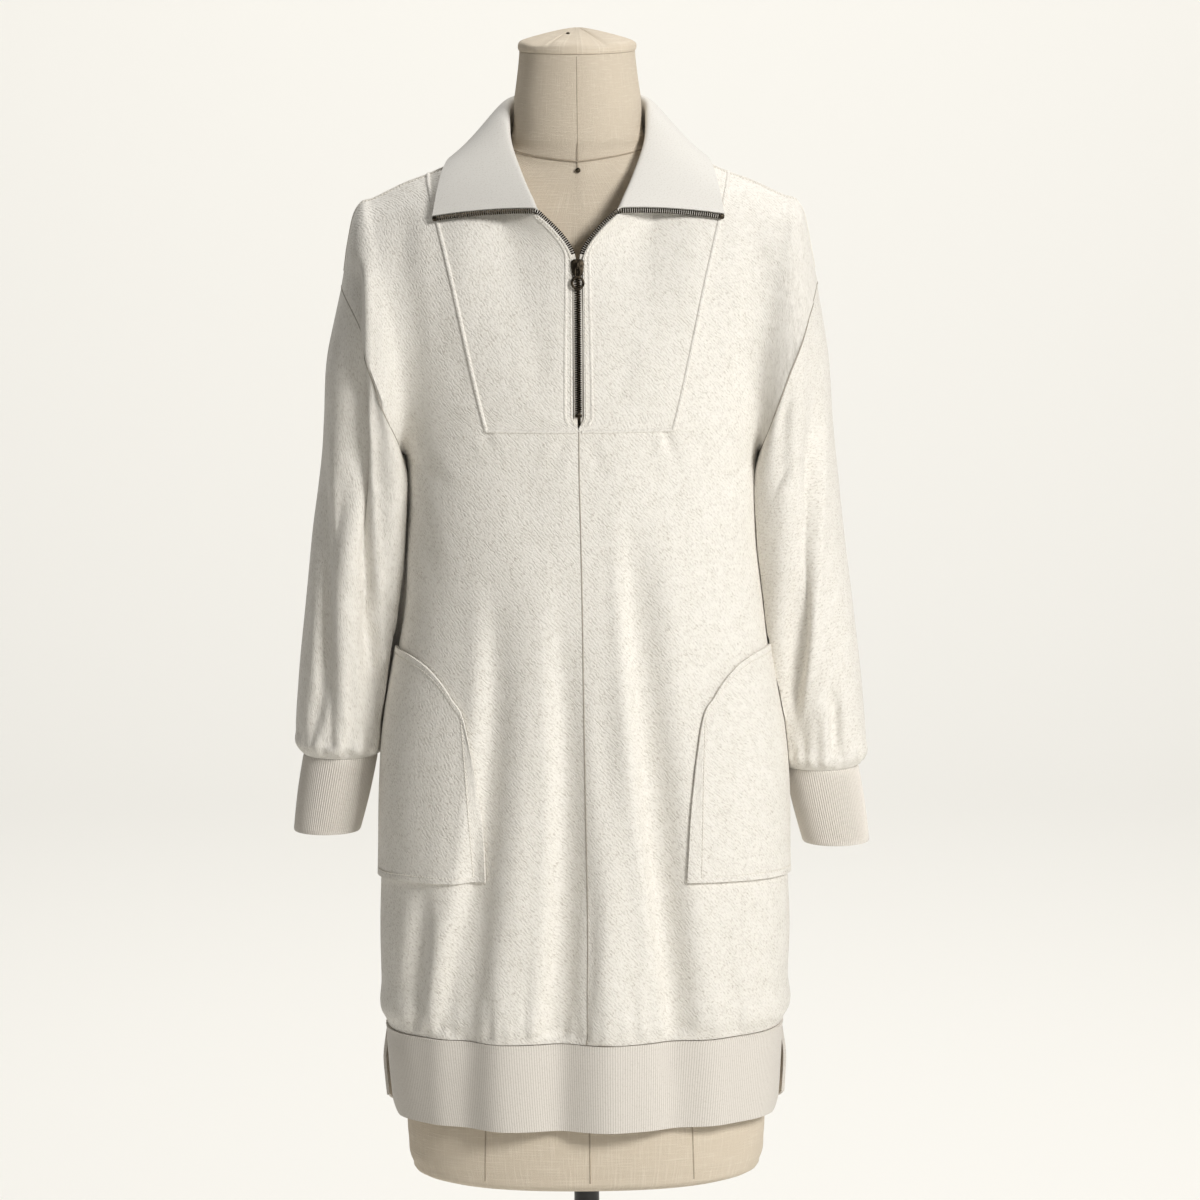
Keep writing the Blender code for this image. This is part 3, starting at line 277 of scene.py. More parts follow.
# Dress form: height, half width, how far in front of the pole its widest line lies, depth before and
# behind that line, power of the level section.
FORM_SECTIONS = [
    (0.4760, 0.1400, 0.0000, 0.0850, 0.0780, 2.3),
    (0.4795, 0.1520, 0.0000, 0.0930, 0.0850, 2.3),
    (0.4900, 0.1600, 0.0000, 0.0970, 0.0885, 2.3),
    (0.5120, 0.1635, 0.0000, 0.0985, 0.0900, 2.3),
    (0.5600, 0.1640, 0.0000, 0.0985, 0.0905, 2.3),
    (0.7000, 0.1620, 0.0000, 0.0975, 0.0920, 2.3),
    (0.8400, 0.1540, 0.0000, 0.0930, 0.0900, 2.3),
    (0.9400, 0.1330, 0.0000, 0.0830, 0.0810, 2.2),
    (1.0300, 0.1180, 0.0000, 0.0790, 0.0720, 2.2),
    (1.1000, 0.1270, 0.0000, 0.0850, 0.0760, 2.2),
    (1.1700, 0.1400, 0.0000, 0.0950, 0.0820, 2.2),
    (1.2200, 0.1480, 0.0005, 0.0935, 0.0845, 2.2),
    (1.2700, 0.1560, 0.0020, 0.0820, 0.0850, 2.2),
    (1.3100, 0.1640, 0.0040, 0.0710, 0.0830, 2.2),
    (1.3350, 0.1700, 0.0060, 0.0620, 0.0790, 2.0),
    (1.3530, 0.1740, 0.0080, 0.0570, 0.0750, 1.8),
    (1.3670, 0.1730, 0.0085, 0.0530, 0.0720, 1.65),
    (1.3780, 0.1695, 0.0085, 0.0500, 0.0700, 1.55),
    (1.3885, 0.1488, 0.0085, 0.0480, 0.0680, 1.5),
    (1.3950, 0.1338, 0.0085, 0.0470, 0.0660, 1.45),
    (1.4015, 0.1162, 0.0085, 0.0460, 0.0640, 1.42),
    (1.4060, 0.0995, 0.0080, 0.0455, 0.0625, 1.40),
    (1.4110, 0.0815, 0.0070, 0.0460, 0.0610, 1.5),
    (1.4190, 0.0660, 0.0040, 0.0495, 0.0585, 1.7),
    (1.4300, 0.0585, 0.0000, 0.0540, 0.0550, 1.95),
    (1.4700, 0.0552, 0.0000, 0.0545, 0.0545, 2.0),
    (1.5065, 0.0530, 0.0000, 0.0530, 0.0530, 2.0),
]

# %% Cells of the fine grids
FINE = 6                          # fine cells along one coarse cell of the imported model
COLUMNS_SIDE = 7 * FINE           # side seam to yoke seam
COLUMNS_YOKE = 5 * FINE           # yoke seam to centre
ROWS_LOW = 165                    # hem seam to underarm
ROWS_UP = 76                      # underarm to shoulder
YOKE_U_LOW = 0.350
YOKE_U_TOP = 0.600
NECK_U = 0.360
ROWS_SLEEVE = 150
UP_SHARES = np.linspace(0, 1, ROWS_UP)
ARM_STEPS = 11                    # the armhole's run-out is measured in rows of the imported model
print("cells of one half front:", (ROWS_LOW + ROWS_UP) * (COLUMNS_SIDE + COLUMNS_YOKE))

# %% [markdown]
# ## Small helpers
#
# Everything below is made of a few things: a soft step, a smooth curve through the rows of a table, a unit
# direction, a Bezier arc, lines that are measured, read off and smoothed, and rounded sections. Blender's
# own curve objects could give some of them, but array functions run over a whole grid at once.

# %% Helpers
def smoothstep(value):
    """Three times the square less twice the cube, so that it leaves 0 and reaches 1 level."""
    value = np.clip(value, 0.0, 1.0)
    return value * value * (3.0 - 2.0 * value)


def curve(rows, at):
    """Cubic through the rows of a table: each piece keeps the value and the mean slope at both its ends."""
    rows = np.asarray(rows, float)
    key, values = rows[:, 0], rows[:, 1:]
    at = np.asarray(at, float)
    slope = np.gradient(values, key, axis=0)
    i = np.clip(np.searchsorted(key, at) - 1, 0, len(key) - 2)
    step = (key[i + 1] - key[i])[..., None]
    f = np.clip((at - key[i])[..., None] / step, 0.0, 1.0)
    return (values[i] * (1 + 2 * f) * (1 - f) ** 2 + slope[i] * step * f * (1 - f) ** 2
            + values[i + 1] * f * f * (3 - 2 * f) + slope[i + 1] * step * f * f * (f - 1))


def unit(vectors):
    """Each vector divided by its own length."""
    return vectors / np.maximum(np.linalg.norm(vectors, axis=-1, keepdims=True), 1e-12)


def bezier(a, b, c, d, t):
    """Cubic arc from a to d that leaves towards b and arrives from c."""
    t = t[..., None]
    return a * (1 - t) ** 3 + 3 * b * t * (1 - t) ** 2 + 3 * c * t * t * (1 - t) + d * t ** 3


def lengths(line):
    """Distance travelled along a line of points, from its first point."""
    return np.concatenate([[0.0], np.cumsum(np.linalg.norm(np.diff(line, axis=0), axis=1))])


def sampled(at, far, values):
    """Each column of the values, known at the places far, read off at other places by straight lines."""
    return np.stack([np.interp(at, far, values[:, k]) for k in range(values.shape[1])], -1)


def smoothed(path, rounds):
    """Each inner point becomes the mean of its two neighbours and twice itself, over some rounds."""
    for _ in range(rounds):
        path[1:-1] = (path[:-2] + 2 * path[1:-1] + path[2:]) / 4
    return path


def rounded(angle, power):
    """Cosine and sine with their sizes raised to a power: below one, the circle grows squarer."""
    return (np.sign(np.cos(angle)) * np.abs(np.cos(angle)) ** power,
            np.sign(np.sin(angle)) * np.abs(np.sin(angle)) ** power)


def oval(width, thick, power, sides, middle=0.0):
    """Profile of a rounded section: half width times the cosine, half thickness times the sine."""
    cosine, sine = rounded(2 * math.pi * np.arange(sides) / sides, power)
    return np.stack([width * cosine, middle + thick * sine], -1)


def grid_cells(grid, axis=-1):
    """The four corners of every cell of a grid, one way round."""
    return np.stack([grid[:-1, :-1], grid[:-1, 1:], grid[1:, 1:], grid[1:, :-1]], axis)


def swollen(grid, shares):
    """The rings of a loft scaled about their own middles by one share each."""
    middle = grid.mean(axis=1, keepdims=True)
    return middle + (grid - middle) * np.array(shares)[:, None, None]


# %% [markdown]
# ## The body's surface
#
# Below the arms the dress is a tube. A level section is a superellipse: a circle whose power is a little
# over two, so that it is fuller at the sides than an ellipse. Its folds push points inwards, deeper towards
# the hem. Above the arms every column becomes a Bezier arc that ends on the shoulder seam or the neckline,
# so one sheet runs from the hem over the chest with no joint.

# %% Points of the body
def folds(rows, x, z):
    """Sum of bell-shaped troughs: each follows a straight line and deepens from its top to the hem."""
    depth = np.zeros(np.broadcast(x, z).shape)
    for x_top, z_top, x_low, z_low, most, width in rows:
        down = np.clip((z_top - z) / (z_top - z_low), 0.0, 1.15)
        grown = smoothstep(down)
        middle = x_top + (x_low - x_top) * down
        depth = depth + most * grown * np.exp(-((x - middle) / (width * (0.6 + 0.4 * grown))) ** 2)
    return depth


def lower_body(u, z, face):
    """Superellipse at height z: x is the half width times the sine of u, and y keeps the power sum at one."""
    left, right, front, back = np.moveaxis(curve(SECTIONS, z), -1, 0)
    side = np.abs(np.sin(u * math.pi / 2))
    x = curve(CENTRE, z)[..., 0] * (1 - side) + np.where(u < 0, -left, right) * side
    depth = front if face < 0 else back
    y = face * depth * np.maximum(1 - side ** BODY_POWER, 0.0) ** (1 / BODY_POWER)
    inwards = folds(FRONT_FOLDS if face < 0 else BACK_FOLDS, x, z) * (1 - side ** 4)
    x = x - inwards * np.sin(u * math.pi / 2)
    y = y - inwards * np.cos(u * math.pi / 2) * face
    return np.stack([x, y, z + 0 * x], -1)


def zip_opening(z):
    """Distance of each zip edge from the centre line: nothing, then the slot, then the open mouth."""
    slot = ZIP_HALF_SLOT * smoothstep((z - YOKE_BOTTOM_Z - 0.002) / (ZIP_STOP_Z - YOKE_BOTTOM_Z))
    mouth = np.clip((z - ZIP_MOUTH_Z) / (NECK_FRONT_Z - ZIP_MOUTH_Z), 0.0, 1.0)
    return slot, MOUTH_SPREAD * mouth ** 1.5, MOUTH_LIFT * smoothstep(mouth)


def upper_body(u, v, face):
    """Bezier arc at share v from the underarm level to the top, with the open zip spread at the centre."""
    out, sign = np.abs(u), np.where(u < 0, -1.0, 1.0)
    low = lower_body(u, np.full(u.shape, UNDERARM_Z), face)
    top = curve(TOP_FRONT if face < 0 else TOP_BACK, out)
    middle = curve(CENTRE, top[..., 2])[..., 0] * (1 - smoothstep(out / NECK_U))
    top = np.stack([top[..., 0] * sign + middle, top[..., 1], top[..., 2]], -1)
    rise = curve(RISE_FRONT if face < 0 else RISE_BACK, out)
    zero = np.zeros(u.shape)
    leave = low + np.stack([zero, rise[..., 0], rise[..., 1]], -1)
    arrive = top + np.stack([zero, rise[..., 2], rise[..., 3]], -1)
    points = bezier(low, leave, arrive, top, v)
    if face < 0:
        near = 1 - smoothstep(out / NECK_U)
        slot, spread, lift = zip_opening(points[..., 2])
        points[..., 0] += sign * near * (slot + spread)
        points[..., 1] -= near * lift
    return points


# %% Rows and columns of one half
def seam_row(u):
    """The v at which each front column crosses the yoke's bottom seam, found by halving 24 times."""
    low, high = np.zeros(u.shape), np.full(u.shape, 0.5)
    for _ in range(24):
        middle = (low + high) / 2
        below = upper_body(u, middle, -1)[..., 2] < YOKE_BOTTOM_Z
        low, high = np.where(below, middle, low), np.where(below, high, middle)
    even = 1.0 / ARM_STEPS
    away = smoothstep((np.abs(u) - NECK_U) / 0.3)
    return low * (1 - away) + even * away


def column_lines(up):
    """|u| of the columns from the side seam to the centre: even steps on both sides of the yoke's seam."""
    yoke = YOKE_U_LOW + (YOKE_U_TOP - YOKE_U_LOW) * (1 - (1 - up) ** 1.7)
    side = np.arange(COLUMNS_SIDE) / COLUMNS_SIDE
    inner = np.arange(COLUMNS_YOKE + 1) / COLUMNS_YOKE
    return np.concatenate([1 - (1 - yoke) * side, yoke * (1 - inner)])


def half_body(sign, face):
    """One half of the front or back: level rows below the arms, then rows at even shares of each arc."""
    heights = HEM_SEAM_Z + (UNDERARM_Z - HEM_SEAM_Z) * np.linspace(0, 1, ROWS_LOW + 1)[:-1]
    u_low = np.maximum(column_lines(0.0), 1e-9)[None, :] * np.ones((len(heights), 1)) * sign
    low = lower_body(u_low, heights[:, None] + 0 * u_low, face)
    start = np.maximum(column_lines(0.0), 1e-9) * sign
    between = seam_row(start)[None, :] * np.linspace(0, 1, FINE + 1)[:-1, None]
    middle = upper_body(start[None, :] + 0 * between, between, face)
    rows = []
    for up in UP_SHARES:
        u = np.maximum(column_lines(up), 1e-9) * sign
        first = seam_row(u)
        rows.append(upper_body(u, first + (1 - first) * up, face))
    return np.concatenate([low, middle, np.array(rows)])


YOKE_ROW = ROWS_LOW + FINE        # the row that lies on the yoke's bottom seam
front = {sign: half_body(sign, -1) for sign in (-1, 1)}
back = {sign: half_body(sign, 1) for sign in (-1, 1)}
print("hem seam to underarm, mm:", round(1000 * (UNDERARM_Z - HEM_SEAM_Z)),
      "| rows:", len(front[1]), "columns:", front[1].shape[1])

# %% [markdown]
# ## Creases
#
# A crease is a bent line in the picture plane with a soft valley along it and a low swelling beside it. Two
# tables hold them, one for what faces the viewer and one for the back, in the garment's own metres. The
# depth fades in and out along the line, so that no two look alike. Sculpting could give the same relief,
# but a table can be read, mirrored and corrected against the photograph.

# %% The tables of creases
# Three points (x, z), depth (a ridge where negative), half width, then the shares over which it fades in
# and out, and in some rows how much wider its slope is on the viewer's right than the half width, and
# narrower on the left. Lengths in millimetres.
FRONT_CREASES = [
    ((-82, 1064), (-86, 860), (-130, 622), 6.0, 13, 0.40, 0.01, 0.35),
    ((-100, 770), (-108, 700), (-122, 622), -1.8, 9, 0.5, 0.01),
    ((-140, 768), (-148, 704), (-156, 622), 4.0, 8, 0.5, 0.05),
    ((-142, 800), (-137, 715), (-143, 640), -1.2, 8, 0.5, 0.3),
    ((-22, 1060), (-16, 841), (-30, 622), 7.0, 16, 0.5, 0.01, 0.45),
    ((8, 800), (6, 704), (1, 622), 2.0, 6, 0.5, 0.01),
    ((44, 1131), (56, 878), (82, 622), 6.5, 12, 0.30, 0.01, 0.35),
    ((40, 1010), (50, 850), (69, 640), -1.4, 11, 0.5, 0.2),
    ((13, 987), (20, 878), (22, 750), 2.0, 9, 0.5, 0.5),
    ((57, 704), (59, 667), (62, 622), 1.3, 5, 0.6, 0.01),
    ((41, 680), (43, 653), (43, 622), 1.1, 4, 0.6, 0.01),
    ((-87, 680), (-86, 653), (-86, 622), 1.1, 5, 0.6, 0.01),
    ((132, 700), (134, 660), (135, 622), 1.2, 6, 0.6, 0.01),
    ((108, 672), (110, 650), (112, 622), 0.9, 4, 0.6, 0.01),
    ((-48, 700), (-52, 660), (-57, 622), 0.9, 5, 0.6, 0.01),
    ((-33, 668), (-34, 645), (-36, 622), 0.8, 4, 0.6, 0.01),
    ((14, 672), (15, 648), (17, 622), 0.9, 4, 0.6, 0.01),
    ((-166, 680), (-168, 650), (-169, 622), 0.8, 5, 0.6, 0.01),
    ((158, 690), (160, 655), (162, 622), 0.9, 6, 0.6, 0.01),
    ((76, 1172), (80, 1162), (89, 1136), 3.0, 4, 0.15, 0.7),
    ((69, 1170), (71, 1160), (73, 1140), -1.0, 4, 0.2, 0.7),
    ((-86, 1172), (-81, 1164), (-72, 1150), 1.8, 4, 0.15, 0.7),
    ((-150, 1150), (-128, 1130), (-95, 1105), 1.5, 9, 0.4, 0.6),
    ((-156, 1120), (-140, 1060), (-120, 990), 1.2, 10, 0.4, 0.6),
    ((152, 1150), (132, 1128), (104, 1098), 1.5, 9, 0.4, 0.6),
    ((157, 1120), (146, 1050), (131, 985), 1.2, 10, 0.4, 0.6),
    ((-96, 1190), (-108, 1230), (-118, 1280), 1.0, 9, 0.5, 0.6),
    ((96, 1195), (112, 1235), (122, 1285), 1.0, 9, 0.5, 0.6),
    ((-150, 1372), (-158, 1330), (-160, 1270), 1.2, 9, 0.4, 0.6),
    ((153, 1372), (160, 1325), (161, 1265), 1.2, 9, 0.4, 0.6),
    ((-40, 1190), (-38, 1240), (-46, 1300), 0.8, 9, 0.5, 0.6),
    ((38, 1192), (41, 1235), (48, 1290), 0.8, 9, 0.5, 0.6),
    ((-12, 1168), (-22, 1150), (-34, 1120), 0.9, 5, 0.3, 0.6),
    ((8, 1168), (15, 1148), (24, 1122), 0.9, 5, 0.3, 0.6),
    ((-200, 1330), (-199, 1280), (-198, 1190), 6.5, 8.5, 0.35, 0.45, -0.40),
]
BACK_CREASES = [
    ((-60, 1080), (-76, 850), (-99, 622), 2.0, 9, 0.4, 0.01),
    ((12, 1050), (10, 840), (4, 622), 1.8, 8, 0.5, 0.01),
    ((72, 1100), (84, 860), (108, 622), 2.2, 9, 0.4, 0.01),
    ((-30, 960), (-38, 790), (-50, 640), -1.3, 10, 0.5, 0.2),
    ((40, 940), (46, 780), (60, 640), -1.2, 10, 0.5, 0.2),
    ((-140, 760), (-148, 700), (-152, 622), 1.6, 7, 0.5, 0.02),
    ((140, 790), (148, 700), (153, 622), 1.6, 7, 0.5, 0.02),
    ((-78, 700), (-81, 660), (-84, 622), 1.1, 5, 0.6, 0.01),
    ((-20, 690), (-22, 655), (-23, 622), 1.0, 5, 0.6, 0.01),
    ((34, 686), (36, 650), (38, 622), 1.0, 4, 0.6, 0.01),
    ((84, 690), (88, 655), (91, 622), 1.1, 5, 0.6, 0.01),
    ((126, 680), (128, 650), (130, 622), 0.9, 5, 0.6, 0.01),
    ((-116, 676), (-118, 650), (-121, 622), 0.9, 4, 0.6, 0.01),
    ((-152, 1150), (-120, 1120), (-80, 1100), 1.7, 10, 0.4, 0.6),
    ((-156, 1110), (-128, 1050), (-104, 980), 1.3, 11, 0.4, 0.6),
    ((153, 1150), (124, 1118), (86, 1096), 1.7, 10, 0.4, 0.6),
    ((157, 1110), (132, 1046), (110, 970), 1.3, 11, 0.4, 0.6),
    ((-150, 1366), (-157, 1320), (-154, 1250), 1.4, 10, 0.4, 0.6),
    ((152, 1368), (158, 1318), (156, 1248), 1.4, 10, 0.4, 0.6),
    ((-60, 1290), (-30, 1276), (0, 1272), 1.0, 12, 0.5, 0.5),
    ((64, 1296), (34, 1280), (6, 1274), 1.0, 12, 0.5, 0.5),
]
SLEEVE_FRONT_CREASES = [
    ((-231, 1170), (-231, 1014), (-230, 874), 4.0, 6, 0.3, 0.02),
    ((-216, 1262), (-213, 1141), (-209, 960), -2.2, 9, 0.3, 0.4),
    ((-200, 1330), (-198, 1150), (-185, 880), 9.0, 8.5, 0.16, 0.20, -0.40),
    ((-192, 1270), (-190, 1130), (-180, 900), 5.5, 15, 0.30, 0.20),
    ((-209, 977), (-209, 922), (-211, 867), 1.5, 4, 0.4, 0.02),
    ((-219, 915), (-219, 890), (-218, 867), 1.3, 3.5, 0.5, 0.02),
    ((-243, 930), (-242, 898), (-240, 868), 1.2, 4, 0.5, 0.02),
    ((-196, 905), (-195, 888), (-196, 866), 1.0, 3, 0.5, 0.02),
    ((193, 1350), (197, 1259), (199, 1123), -2.0, 8, 0.2, 0.4),
    ((207, 1268), (211, 1160), (209, 1014), 1.1, 8, 0.3, 0.5),
    ((212, 1230), (205, 1048), (188, 880), 8.5, 8.5, 0.30, 0.15, -0.40),
    ((232, 930), (229, 895), (229, 856), 2.8, 4.5, 0.4, 0.02),
    ((214, 905), (213, 885), (211, 856), 1.2, 4, 0.5, 0.02),
    ((243, 900), (242, 878), (240, 856), 1.1, 4, 0.5, 0.02),
    ((199, 890), (200, 874), (201, 853), 1.0, 3, 0.5, 0.02),
    ((230, 1130), (236, 1050), (243, 960), 1.0, 7, 0.4, 0.5),
]
SLEEVE_BACK_CREASES = [
    ((-222, 1180), (-222, 1040), (-224, 874), 1.8, 7, 0.3, 0.05),
    ((-204, 1220), (-200, 1090), (-195, 930), 1.5, 8, 0.3, 0.3),
    ((-240, 1010), (-243, 930), (-241, 868), 1.3, 6, 0.5, 0.02),
    ((-209, 930), (-209, 898), (-208, 866), 1.2, 4, 0.5, 0.02),
    ((220, 1190), (222, 1040), (222, 864), 1.8, 7, 0.3, 0.05),
    ((203, 1210), (201, 1080), (195, 920), 1.5, 8, 0.3, 0.3),
    ((238, 1000), (242, 920), (240, 856), 1.3, 6, 0.5, 0.02),
    ((208, 915), (208, 885), (206, 854), 1.2, 4, 0.5, 0.02),
]


# %% Depth of the creases
def crease_depth(points, rows):
    """Bell of the distance to a bent line, less a lower bell beside it, times how far it has faded in and out.

    A row with a lean has a wider bell on one side of its line than on the other.
    """
    depth = np.zeros(len(points))
    flat = points[:, [0, 2]]
    share = np.linspace(0, 1, 33)[:, None]
    for start, middle, end, most, width, fade_in, fade_out, *lean in rows:
        a, b, c = (np.array(p) / 1000 for p in (start, middle, end))
        b = 2 * b - (a + c) / 2
        line = a * (1 - share) ** 2 + 2 * b * share * (1 - share) + c * share ** 2
        w = width / 1000
        near = np.nonzero(((flat > line.min(0) - 4.5 * w) & (flat < line.max(0) + 4.5 * w)).all(1))[0]
        if not len(near):
            continue
        best = np.full(len(near), 1e9)
        place, beside_it = np.zeros(len(near)), np.zeros(len(near))
        for k in range(len(line) - 1):
            run = line[k + 1] - line[k]
            f = np.clip(((flat[near] - line[k]) @ run) / (run @ run), 0, 1)
            away = flat[near] - line[k] - f[:, None] * run
            far = np.linalg.norm(away, axis=1)
            closer = far < best
            beside_it = np.where(closer, np.sign(away[:, 0]), beside_it)
            best = np.where(closer, far, best)
            place = np.where(closer, (k + f) / (len(line) - 1), place)
        w = w * (1 + (lean[0] if lean else 0.0) * beside_it)
        bell = np.exp(-(best / w) ** 2) - 0.30 * np.exp(-((best - 2.0 * w) / (0.9 * w)) ** 2)
        depth[near] += most / 1000 * bell * smoothstep(place / fade_in) * smoothstep((1 - place) / fade_out)
    return depth


def ripple(position, seed, coarse, fine):
    """Sum of five sine waves of seeded lengths between the two given ones, scaled to about one."""
    made = np.random.default_rng(seed)
    waves = made.uniform(fine, coarse, 5)
    starts = made.uniform(0, 2 * math.pi, 5)
    return sum(np.sin(2 * math.pi * position / w + s) for w, s in zip(waves, starts)) / 2.2


# %% [markdown]
# ## Sleeves, cuffs and collar
#
# A sleeve is a tube too. Each ring lies between an outer and an inner line, and an angle goes round it. Its
# first ring is the armhole itself, so the difference is faded out over the first third of the sleeve.
# The collar is two Bezier arcs, one up the stand and one down the fall. All three could be cut flat, sewn and
# simulated, but a lofted form holds the outline of the photograph from the first try.

# %% Points of the sleeves
def body_side(y, z):
    """Superellipse solved for x: the half width at depth y and height z, on the larger of the two sides."""
    left, right, front, back = np.moveaxis(curve(SECTIONS, np.minimum(z, UNDERARM_Z)), -1, 0)
    depth = np.where(y < 0, front, back)
    share = np.clip(1 - (np.abs(y) / depth) ** BODY_POWER, 0.0, 1.0) ** (1 / BODY_POWER)
    return np.maximum(left, right) * share


def sleeve_points(angle, along, sign):
    """Ellipse between the outer and inner line: cosine of the angle across them, sine to the front."""
    x_out, z_out, x_in, z_in, depth, behind = np.moveaxis(curve(SLEEVE, along), -1, 0)
    if sign > 0:
        x_out = x_out - RIGHT_SLEEVE_IN * smoothstep(along / 0.6)
        x_in = x_in - RIGHT_SLEEVE_IN * smoothstep((along - 0.9) / 0.1)
        z_out = z_out - RIGHT_SLEEVE_DROP * along
        z_in = z_in - RIGHT_SLEEVE_DROP * along
    inwards = np.zeros(np.broadcast(angle, along).shape)
    for a_top, a_low, start, end, most, width in (SLEEVE_FOLDS_RIGHT if sign > 0 else SLEEVE_FOLDS_LEFT):
        f = np.clip((along - start) / (end - start), 0.0, 1.0)
        grown = smoothstep(4.0 * f) * smoothstep(6.0 * (1.0 - f))
        middle = np.radians(a_top + (a_low - a_top) * f)
        inwards = inwards + most * grown * np.exp(-((angle - middle) / math.radians(width)) ** 2)
    half = np.hypot(x_out - x_in, z_out - z_in) / 2
    small = 1 - inwards / half
    x = (x_out + x_in) / 2 + np.cos(angle) * small * (x_out - x_in) / 2
    z = (z_out + z_in) / 2 + np.cos(angle) * small * (z_out - z_in) / 2
    y = behind - np.sin(angle) * small * depth
    return np.stack([x, y, z], -1)


def clear_of_body(points):
    """The larger of x and the body's half width plus the room the sleeve must keep."""
    x, y, z = np.moveaxis(points, -1, 0)
    room = SLEEVE_CLEARANCE * smoothstep((UNDERARM_Z - z) / 0.012)
    room = room + POCKET_CLEARANCE * smoothstep((0.995 - z) / 0.03) * smoothstep((0.012 - y) / 0.02)
    limit = np.where(z < UNDERARM_Z, body_side(y, z) + room, 0.0)
    return np.stack([np.maximum(x, limit), y, z], -1)


def sleeve(sign, armhole):
    """Rings of the sleeve plus the armhole's difference from the first ring, faded over 30 percent."""
    angle = math.pi * (1 - 2 * np.arange(len(armhole)) / len(armhole)) % (2 * math.pi)
    down = 1 - (1 - np.linspace(0, 1, ROWS_SLEEVE + 1)) ** 1.15
    grid_angle, grid_down = np.meshgrid(angle, down)
    rings = sleeve_points(grid_angle, grid_down, sign)
    first = armhole * np.array([sign, 1, 1])
    rings = rings + (first - rings[0])[None] * (1 - smoothstep(down / 0.30))[:, None, None]
    rings[1:] = clear_of_body(rings[1:])
    rings[..., 0] *= sign
    return np.concatenate([rings, rings[:, :1]], axis=1)


# %% Points of the collar
def refine(line):
    """The same line with a point halfway along each stretch."""
    fine = np.repeat(line, 2, axis=0)[:-1]
    fine[1::2] = (line[:-1] + line[1:]) / 2
    return fine


def collar(neck):
    """Two Bezier arcs for each point of the neck seam: up the stand to the roll, then down the fall.

    Its reference side faces away from the neck on the stand and down on the fall.
    """
    place = np.linspace(-1, 1, len(neck))
    out, sign = np.abs(place), np.where(place < 0, -1.0, 1.0)
    flip = np.stack([sign, np.ones(len(neck)), np.ones(len(neck))], -1)
    roll = curve(COLLAR_ROLL, out) * flip
    edge = curve(COLLAR_EDGE, out) * flip
    lift, back_out, back_up = np.moveaxis(curve(COLLAR_ARCH, out), -1, 0)
    across = unit((edge - roll) * np.array([1, 1, 0]))
    upwards = np.array([0, 0, 1.0])
    height = np.linalg.norm(roll - neck, axis=-1)
    stand_1 = neck + 0.45 * height[:, None] * unit(roll - neck - 0.2 * height[:, None] * across)
    stand_2 = roll - across * np.minimum(0.006, 0.5 * height)[:, None]
    fall_1 = roll + across * lift[:, None]
    fall_2 = edge - across * back_out[:, None] + upwards * back_up[:, None]
    rows = []
    for t in np.linspace(0, 1, 13)[:-1]:
        rows.append(bezier(neck, stand_1, stand_2, roll, np.full(len(neck), t)))
    for t in np.linspace(0, 1, 30) ** 1.15:
        rows.append(bezier(roll, fall_1, fall_2, edge, np.full(len(neck), t)))
    return np.array(rows)


neck_column = COLUMNS_SIDE + round(COLUMNS_YOKE * (1 - NECK_U / YOKE_U_TOP))
front_neck = {sign: front[sign][-1, neck_column:] for sign in front}
back_neck = {sign: back[sign][-1, neck_column:] for sign in back}
neck = np.concatenate([front_neck[-1][::-1], back_neck[-1][1:], back_neck[1][-2::-1], front_neck[1][1:]])
collar_grid = collar(refine(neck))
armholes = {sign: np.concatenate([front[sign][ROWS_LOW:, 0], back[sign][-2:ROWS_LOW:-1, 0]])
            for sign in front}
sleeves = {sign: sleeve(sign, armholes[sign]) for sign in front}
print("neck seam, mm:", round(1000 * lengths(neck)[-1]),
      "| armhole, mm:", round(1000 * lengths(armholes[1])[-1]))

# %% [markdown]
# ## From a grid to a wall of cloth
#
# Neighbouring pieces of cloth share the points of their seam. They are welded in one list, the creases are
# pressed into it along shared normals, and only then is each piece cut out, set back by half a seam's gap,
# and given its thickness towards the inside. Solidify would do the last step, but it can't know that the next
# piece's wall has to meet this one's at the same angle.

